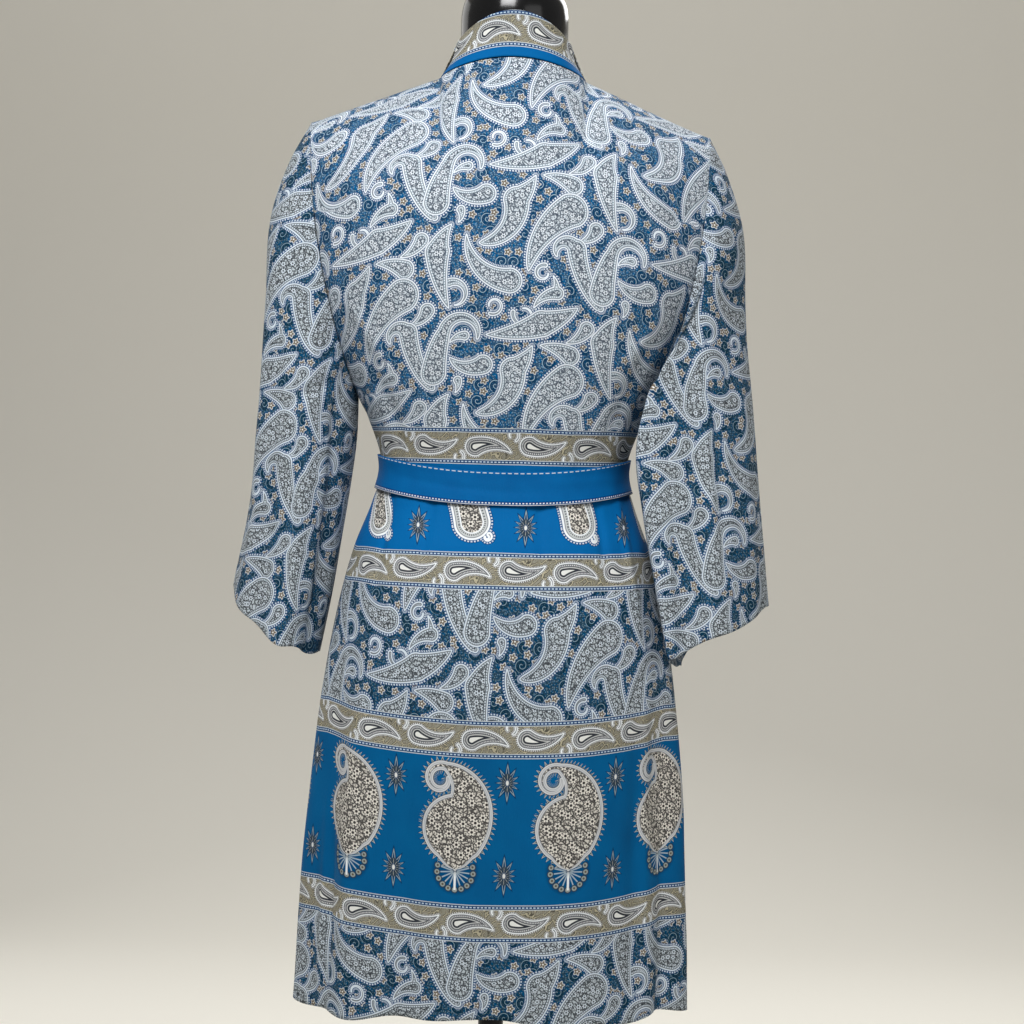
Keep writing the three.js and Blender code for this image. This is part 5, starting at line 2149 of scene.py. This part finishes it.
@dataclass(frozen=True)
class Crepe:
    """Thin printed crepe.

    Args:
        name: of the material.
        zones: bands of the print up the cut; what lies outside them is the first one's fill.
        lay: how the print lies on the cut.
        sag: how far the bands hang down in the middle of the cut, in mm.
        faded: how far the print is covered on the wrong side.
        relief: strength of the weave's bump.
        thread: pitch of warp and weft in mm.
        sag_width: half the width over which the bands hang down, in mm.
        sag_heights: heights on the cut between which the sag lessens, in mm.
        sag_least: what is left of it at the upper one, in mm.
    """

    name: str
    zones: tuple[Zone, ...]
    lay: Lay = Lay.PLAIN
    sag: float = 0.0
    faded: float = 0.0
    relief: float = 0.3
    thread: float = 0.7
    sag_width: float = 190
    sag_heights: Pair = (300.0, 430.0)
    sag_least: float = 3.0

    def place(self, loom: Loom) -> Wire:
        """The place on the print.

        Args:
            loom: adds the nodes.

        Returns:
            Flat vector in mm.
        """
        uv = Wire(loom, loom.node("ShaderNodeUVMap", uv_map="cut").outputs[0])
        cut = loom.scaled(uv, 1000.0)
        x, y = loom.separate(cut)
        if self.lay is Lay.BAND:
            return loom.combine(y, BAND - loom.math("ABSOLUTE", x))
        if self.lay is Lay.RIBBON:
            return loom.combine(y, x + SASH / 2)
        if self.sag:
            low, high = self.sag_heights
            feeds = {"Value": y, "From Min": low, "From Max": high}
            feeds |= {"To Min": self.sag, "To Max": self.sag_least}
            depth = Wire(loom, loom.node("ShaderNodeMapRange", feeds).outputs[0])
            off = x * (1 / self.sag_width)
            hang = loom.math("MULTIPLY_ADD", off * off, -1.0, 1.0, clamp=True)
            return loom.combine(x, y + depth * hang)
        return cut

    def colour(self, loom: Loom, place: Wire) -> Wire:
        """The colour of all zones together.

        Args:
            loom: adds the nodes.
            place: flat vector in mm.

        Returns:
            The colour.
        """
        _, y = loom.separate(place)
        masks = [y.within(zone.low, zone.high, 0.2) for zone in self.zones]
        base: Wire | None = None
        for fill, painter in PAINTERS.items():
            chosen = [(zone, mask) for zone, mask in zip(self.zones, masks) if zone.fill is fill]
            if not chosen:
                continue
            if len(chosen) == 1:
                moved = loom.shift(place, *chosen[0][0].start)
            else:
                moved = place
                for zone, mask in chosen:
                    step = loom.combine(mask * -zone.start[0], mask * -zone.start[1])
                    added = loom.node("ShaderNodeVectorMath", {0: moved, 1: step}, operation="ADD")
                    moved = Wire(loom, added.outputs[0])
            shade = painter.use(loom, moved)
            if base is None:
                base = shade
            else:
                mask = chosen[0][1]
                for _, more in chosen[1:]:
                    mask = loom.math("MAXIMUM", mask, more)
                base = base.coat(shade, mask)
        for zone, mask in zip(self.zones, masks):
            if zone.fill is Fill.BLUE:
                base = loom.paint(base if base else BLUE, BLUE, mask)
        return base

    def dress(self) -> Material:
        """Makes the material.

        Returns:
            The material.
        """
        material = bpy.data.materials.new(self.name)
        material.use_nodes = True
        loom = Loom(material.node_tree)
        shader = material.node_tree.nodes["Principled BSDF"]
        place = self.place(loom)
        colour = self.colour(loom, place)
        wear = loom.noise(place, 60.0, 1.0)
        colour = colour.coat(linear(20, 40, 66), wear * 0.12)
        if self.faded:
            colour = colour.coat(linear(52, 74, 92), self.faded)
        loom.tree.links.new(colour.socket, shader.inputs["Base Color"])
        rough = loom.between(0.62, 0.86, loom.noise(place, 2.4, 1.0))
        loom.tree.links.new(rough.socket, shader.inputs["Roughness"])
        shader.inputs["Specular IOR Level"].default_value = 0.06
        shader.inputs["Sheen Weight"].default_value = 0.02
        shader.inputs["Sheen Roughness"].default_value = 0.4
        loom.tree.links.new(self.weave(loom, place).socket, shader.inputs["Normal"])
        return material

    def weave(self, loom: Loom, place: Wire) -> Wire:
        """The bump of warp and weft with the crepe's fine crinkle.

        Args:
            loom: adds the nodes.
            place: flat vector in mm.

        Returns:
            The shading normal.
        """
        x, y = loom.separate(place)
        warp = loom.math("SINE", x * (2 * math.pi / self.thread))
        weft = loom.math("SINE", y * (2 * math.pi / self.thread))
        crinkle = loom.noise(loom.combine(x, y * 0.35), 1.6, 1.0)
        drift = loom.noise(loom.combine(x, y * 0.3), 11.0, 1.0)
        height = loom.math("MULTIPLY_ADD", warp * weft, 0.15, crinkle * 0.8) + drift * 2.2
        feeds = {"Strength": self.relief, "Distance": 0.0006, "Height": height}
        return Wire(loom, loom.node("ShaderNodeBump", feeds).outputs[0])


@dataclass(frozen=True)
class Finish:
    """The materials of a piece of cloth: runs of its print up the cut, each with a right and a wrong side.

    Args:
        slot: the record's material slot.
        tops: height on the cut, in mm, where each run ends.
        outside: materials of the right side, one a run.
        inside: materials of the wrong side, one a run.
    """

    slot: str
    tops: tuple[float, ...]
    outside: tuple[Material, ...]
    inside: tuple[Material, ...]

    @classmethod
    def of(cls, slot: str, crepe: Crepe) -> "Finish":
        """Divides a crepe's print in the middle of each border and makes the materials of both sides.

        Args:
            slot: the record's material slot.
            crepe: the cloth.

        Returns:
            Its finish.
        """
        joins: list[Zone] = []
        if crepe.lay is Lay.PLAIN and len(crepe.zones) > 3:
            joins = [zone for zone in crepe.zones[1:-1] if zone.fill is Fill.BORDER]
        tops = [(z.low + z.high - crepe.sag) / 2 for z in joins] + [math.inf]
        sides: list[list[Material]] = [[], []]
        low = -math.inf
        for top in tops:
            near = tuple(z for z in crepe.zones if z.high > low and z.low < top)
            for materials, faded in zip(sides, (0.0, 0.5)):
                name = f"{crepe.name}_{len(materials)}" + ("_wrong_side" if faded else "")
                materials.append(replace(crepe, name=name, zones=near, faded=faded).dress())
            low = top
        return cls(slot, tuple(tops), tuple(sides[0]), tuple(sides[1]))

    def assign(self, mesh: bpy.types.Mesh, heights: Array, sides: Array) -> Array:
        """Gives a mesh the materials.

        Args:
            mesh: of the piece.
            heights: of the middles of its faces on the cut, in mm.
            sides: 0 for a face outside and 1 for one inside.

        Returns:
            The number of each face's material.
        """
        for material in self.outside + self.inside:
            mesh.materials.append(material)
        run = np.searchsorted(np.array(self.tops), heights)
        return (run + sides * len(self.tops)).astype(np.int32)


@dataclass(frozen=True)
class Shell:
    """A hard, smooth finish: the form's moulded shell or the stand's painted steel.

    Args:
        name: of the material.
        tint: screen colour.
        shine: least and greatest roughness.
        grain: pitch of its fine unevenness, in mm.
        metal: how metallic it is.
    """

    name: str
    tint: tuple[int, int, int] = (9, 9, 10)
    shine: Pair = (0.1, 0.2)
    grain: float = 40.0
    metal: float = 0.0

    def dress(self) -> Material:
        """Makes the material.

        Returns:
            The material.
        """
        material = bpy.data.materials.new(self.name)
        material.use_nodes = True
        loom = Loom(material.node_tree)
        shader = material.node_tree.nodes["Principled BSDF"]
        texture = Wire(loom, loom.node("ShaderNodeTexCoord").outputs["Object"])
        feeds = {"Vector": texture, "Scale": 1000 / self.grain, "Detail": 3.0}
        cloud = Wire(loom, loom.node("ShaderNodeTexNoise", feeds).outputs[0])
        dust = Wire(loom, loom.node("ShaderNodeTexNoise", {"Vector": texture, "Scale": 260.0}).outputs[0])
        light = linear(*(c + 14 for c in self.tint))
        specks = loom.math("MULTIPLY_ADD", dust, 3.0, -1.5, clamp=True) * 0.3
        colour = loom.paint(linear(*self.tint), light, specks)
        loom.tree.links.new(colour.socket, shader.inputs["Base Color"])
        rough = loom.between(self.shine[0], self.shine[1], cloud)
        loom.tree.links.new(rough.socket, shader.inputs["Roughness"])
        shader.inputs["Metallic"].default_value = self.metal
        bump = loom.node("ShaderNodeBump", {"Strength": 0.06, "Distance": 0.001, "Height": cloud})
        loom.tree.links.new(bump.outputs[0], shader.inputs["Normal"])
        return material


# ---------------- studio


@dataclass(frozen=True)
class Studio:
    """The plain pale floor, the soft lights and the camera.

    Args:
        camera_at: where the camera stands, in metres.
        pitch: how far it looks down, in radians.
        roll: how far it is turned about its axis, in radians.
        lens: its focal length in mm.
        floor_colour: of the floor and the backdrop.
        world_colour: of the light from all round.
        world_strength: of that light.
    """

    camera_at: Triple = (-0.009, 2.8, 1.080)
    pitch: float = math.atan(82 / 2800)
    roll: float = math.radians(1.4)
    lens: float = 98.4375
    floor_colour: tuple[float, float, float, float] = (0.93, 0.9, 0.82, 1)
    world_colour: tuple[float, float, float, float] = (0.93, 0.92, 0.9, 1)
    world_strength: float = 0.25

    def camera(self) -> None:
        """Sets the camera behind the robe, looking a little down and rolled a little."""
        data = bpy.data.cameras.new("camera")
        data.lens = self.lens
        data.sensor_width = 36
        data.clip_end = 50
        camera = bpy.data.objects.new("camera", data)
        forward = Vector((0, -math.cos(self.pitch), -math.sin(self.pitch)))
        turn = forward.to_track_quat("-Z", "Y").to_matrix()
        rolled = (turn @ Matrix.Rotation(self.roll, 3, "Z")).to_4x4()
        camera.matrix_world = Matrix.Translation(self.camera_at) @ rolled
        bpy.context.scene.collection.objects.link(camera)
        bpy.context.scene.camera = camera

    def light(
        self,
        name: str,
        place: Triple,
        size: float,
        power: float,
        spread: float = 180,
        aim: Triple = (0, 0, 1.25),
    ) -> None:
        """Adds a soft square light.

        Args:
            name: of the light.
            place: where it hangs, in metres.
            size: length of its side in metres.
            power: in watts.
            spread: angle of its beam in degrees.
            aim: the point that it faces, in metres.
        """
        data = bpy.data.lights.new(name, "AREA")
        data.spread = math.radians(spread)
        data.shape = "SQUARE"
        data.size = size
        data.energy = power
        lamp = bpy.data.objects.new(name, data)
        lamp.location = place
        lamp.rotation_euler = (Vector(aim) - Vector(place)).to_track_quat("-Z", "Y").to_euler()
        bpy.context.scene.collection.objects.link(lamp)

    def sweep(self) -> None:
        """Makes the floor that turns up into the backdrop on the far side."""
        turn = np.linspace(0, math.pi / 2, 24)
        y = np.concatenate([[7.0], -3.0 - 2.0 * np.sin(turn), [-5.0]])
        z = np.concatenate([[0.0], 2.0 - 2.0 * np.cos(turn), [9.0]])
        line = [(float(b), float(c)) for b, c in zip(y, z)]
        mesh = bpy.data.meshes.new("sweep")
        vertices = [(x, b, c) for b, c in line for x in (-9.0, 9.0)]
        faces = [(2 * i, 2 * i + 1, 2 * i + 3, 2 * i + 2) for i in range(len(line) - 1)]
        mesh.from_pydata(vertices, [], faces)
        for polygon in mesh.polygons:
            polygon.use_smooth = True
        material = bpy.data.materials.new("pale_paper")
        material.use_nodes = True
        shader = material.node_tree.nodes["Principled BSDF"]
        shader.inputs["Base Color"].default_value = self.floor_colour
        shader.inputs["Roughness"].default_value = 0.85
        mesh.materials.append(material)
        plane = bpy.data.objects.new("sweep", mesh)
        bpy.context.scene.collection.objects.link(plane)

    def build(self) -> None:
        """Makes the floor, the sky, the lights and the camera."""
        self.sweep()
        world = bpy.data.worlds.new("sky")
        world.use_nodes = True
        sky = world.node_tree.nodes["Background"]
        sky.inputs["Color"].default_value = self.world_colour
        sky.inputs["Strength"].default_value = self.world_strength
        bpy.context.scene.world = world
        bpy.context.scene.view_settings.view_transform = "Standard"
        self.light("key", (0.5, 1.75, 2.95), 1.2, 14.5, 75)
        self.light("fill", (-2.0, 2.4, 1.9), 2.0, 11)
        self.light("backdrop", (0, -2.6, 4.2), 2.4, 26, aim=(0, -5, 1.2))
        self.light("front_key", (-1.2, -2.4, 2.7), 1.6, 42)
        self.light("front_fill", (2.0, -2.2, 1.6), 2.0, 14)
        self.camera()


# ---------------- the whole


class Held(Enum):
    """How a sheet of cloth is held, in the frame's words."""

    DRAPED = "draped"
    HUNG = "hung"
    FOLDED = "folded"


@dataclass(frozen=True)
class Part:
    """A panel that stands for a node of the frame.

    Args:
        panel: makes the cloth.
        finish: its materials.
        held: how it is held; not used.
        rests_on: what carries it; not used.
    """

    panel: Panel
    finish: Finish
    held: Held
    rests_on: tuple[str, ...]

    @property
    def node(self) -> str:
        """The node that it stands for."""
        return self.panel.name.removesuffix("_cloth")

    @property
    def slot(self) -> str:
        """The record's material slot."""
        return self.finish.slot

    def make(self, with_pieces: tuple[Piece, ...] = ()) -> Piece:
        """Args:
            with_pieces: pieces that belong to the same sheet; not used.

        Returns:
            The piece.
        """
        piece, cut = self.panel.build(self.finish)
        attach(piece, "root")
        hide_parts(self.node)
        self.slot
        area = min(cut.area, cut.size[0] * cut.size[1])
        count = len(piece.data.polygons)
        log.info("%s: %d faces, flat %.3f x %.3f m, %.4f m2", piece.name, count, *cut.size, area)
        return piece


@dataclass(frozen=True)
class Wardrobe:
    """The cloths of the robe, each with its print."""

    skirt_zones: tuple[Zone, ...] = (
        # the hem and middle zones take the darker allover copy, painted shade on the skirt
        Zone(Fill.DEEP, -20, 92, (-39, 68)),
        Zone(Fill.BORDER, 92, 128, (0, 92)),
        Zone(Fill.BUTAS, 128, 268, (-34, 200)),
        Zone(Fill.BORDER, 268, 304, (10, 268)),
        Zone(Fill.DEEP, 304, 419, (-31, 402)),
        Zone(Fill.BORDER, 419, 455, (-12, 419)),
        Zone(Fill.PENDANTS, 455, 560, (-29, 499)),
    )
    bodice_zones: tuple[Zone, ...] = (
        Zone(Fill.BLUE, -20, 16),
        Zone(Fill.BORDER, 16, 52, (5, 16)),
        Zone(Fill.ALLOVER, 52, 900, (-80, 127)),
    )
    strip_zones: tuple[Zone, ...] = (Zone(Fill.BLUE, -9, 10), Zone(Fill.BORDER, 10, 48, (0, 10)))
    sash_zones: tuple[Zone, ...] = (Zone(Fill.RIBBON, -50, 90),)
    sag: float = 14.0

    def body(self) -> tuple[Part, ...]:
        """The six panels of the body.

        Returns:
            The parts.
        """
        bodice = Finish.of("print", Crepe("bodice_crepe", self.bodice_zones))
        skirt = Finish.of("print", Crepe("skirt_crepe", self.skirt_zones, sag=self.sag))
        edges = (0, 8, 8, 8)
        left, right = "front_bodice_left_cloth", "front_bodice_right_cloth"
        panels = (
            (BackBodice("back_bodice_cloth", BACK_BODICE_CREASES), ("form_torso",)),
            (FrontBodice(left, LEFT_FRONT_CREASES), ("form_torso", right)),
            (FrontBodice(right, RIGHT_FRONT_CREASES, side=-1), ("form_torso",)),
            (BackSkirt("back_skirt_cloth", BACK_SKIRT_CREASES, fade=edges), ("back_bodice_cloth",)),
            (FrontSkirt("front_skirt_left_cloth", LEFT_SKIRT_CREASES, fade=edges), (left,)),
            (FrontSkirt("front_skirt_right_cloth", RIGHT_SKIRT_CREASES, fade=edges, side=-1), (right,)),
        )
        above = tuple(Part(panel, bodice, Held.DRAPED, carriers) for panel, carriers in panels[:3])
        below = tuple(Part(panel, skirt, Held.HUNG, carriers) for panel, carriers in panels[3:])
        return above + below

    def sleeves(self) -> tuple[Part, ...]:
        """The two sleeves.

        Returns:
            The parts.
        """
        rows = (
            ("left", 1, (100, 1022), LEFT_SLEEVE_CREASES, LEFT_SLEEVE, LEFT_SLEEVE_FOLDS),
            ("right", -1, (-105, 962), RIGHT_SLEEVE_CREASES, RIGHT_SLEEVE, RIGHT_SLEEVE_FOLDS),
        )
        parts = []
        for word, side, start, lines, sections, folds in rows:
            # the sleeves take the darker allover copy, painted shade
            finish = Finish.of("print", Crepe(f"{word}_sleeve_crepe", (Zone(Fill.DEEP, 0, 2000, start),)))
            sleeve = Sleeve(
                f"sleeve_{word}_cloth", lines, fade=(0, 10, 8, 8), side=side, sections=sections, folds=folds
            )
            parts.append(Part(sleeve, finish, Held.HUNG, ("back_bodice_cloth",)))
        return tuple(parts)

    def strips(self) -> tuple[Part, ...]:
        """The collar, the front bands and the sash's hanging ends.

        Returns:
            The parts.
        """
        collar = Finish.of("border", Crepe("collar_crepe", self.strip_zones))
        band = Finish.of("border", Crepe("band_crepe", self.strip_zones, lay=Lay.BAND))
        ribbon = Finish.of("blue", Crepe("ribbon_crepe", self.sash_zones, lay=Lay.RIBBON))
        left, right = "front_bodice_left_cloth", "front_bodice_right_cloth"
        common = {"weaver": Weaver(ripple=0.2), "fade": (0, 4, 3, 3)}
        end = {"weaver": Weaver(ripple=0.2), "fade": (0, 8, 2, 2)}
        round_neck = Collar("collar_cloth", weaver=Weaver(ripple=0.2), fade=(4, 2, 4, 4))
        left_end = SashEnd("sash_end_left_cloth", x=-4, lean=30, length=330, twist=8, **end)
        right_end = SashEnd("sash_end_right_cloth", x=-25, lean=-20, length=300, twist=6, **end)
        return (
            Part(round_neck, collar, Held.DRAPED, ("form_torso",)),
            Part(FrontBand("front_band_left_cloth", **common), band, Held.DRAPED, (left, right)),
            Part(FrontBand("front_band_right_cloth", side=-1, **common), band, Held.DRAPED, (right,)),
            Part(left_end, ribbon, Held.HUNG, ("sash_loop_cloth",)),
            Part(right_end, ribbon, Held.HUNG, ("sash_loop_cloth",)),
        )

    def build(self) -> None:
        """Makes every piece of cloth, the sash and its knot last."""
        for part in self.body() + self.sleeves() + self.strips():
            part.make()
        sash = Finish.of("blue", Crepe("sash_crepe", self.sash_zones))
        knot = SashKnot().build(sash.outside[0])
        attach(knot, "root")
        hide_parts("sash_knot")
        log.info("%s: %d faces", knot.name, len(knot.data.polygons))
        loop = SashLoop("sash_loop_cloth", SASH_CREASES, weaver=Weaver(ripple=0.25), fade=(3, 3, 8, 8))
        Part(loop, sash, Held.FOLDED, ("back_bodice_cloth", "back_skirt_cloth")).make(with_pieces=(knot,))


def main() -> None:
    """Builds the studio, the robe and its carrier, and reports each piece."""
    Studio().build()
    Wardrobe().build()
    shell = Shell("form_shell").dress()
    steel = Shell("satin_steel", tint=(20, 21, 23), shine=(0.34, 0.5), grain=3.0, metal=0.4).dress()
    form = TorsoForm().build(shell)
    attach(form, "root")
    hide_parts("form_torso")
    log.info("%s: %d faces", form.name, len(form.data.polygons))
    for node in ("stand_pole", "stand_base"):
        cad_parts[node].data.materials[0] = steel
        log.info("%s: %s", node, steel.name)


if __name__ == "__main__":
    main()
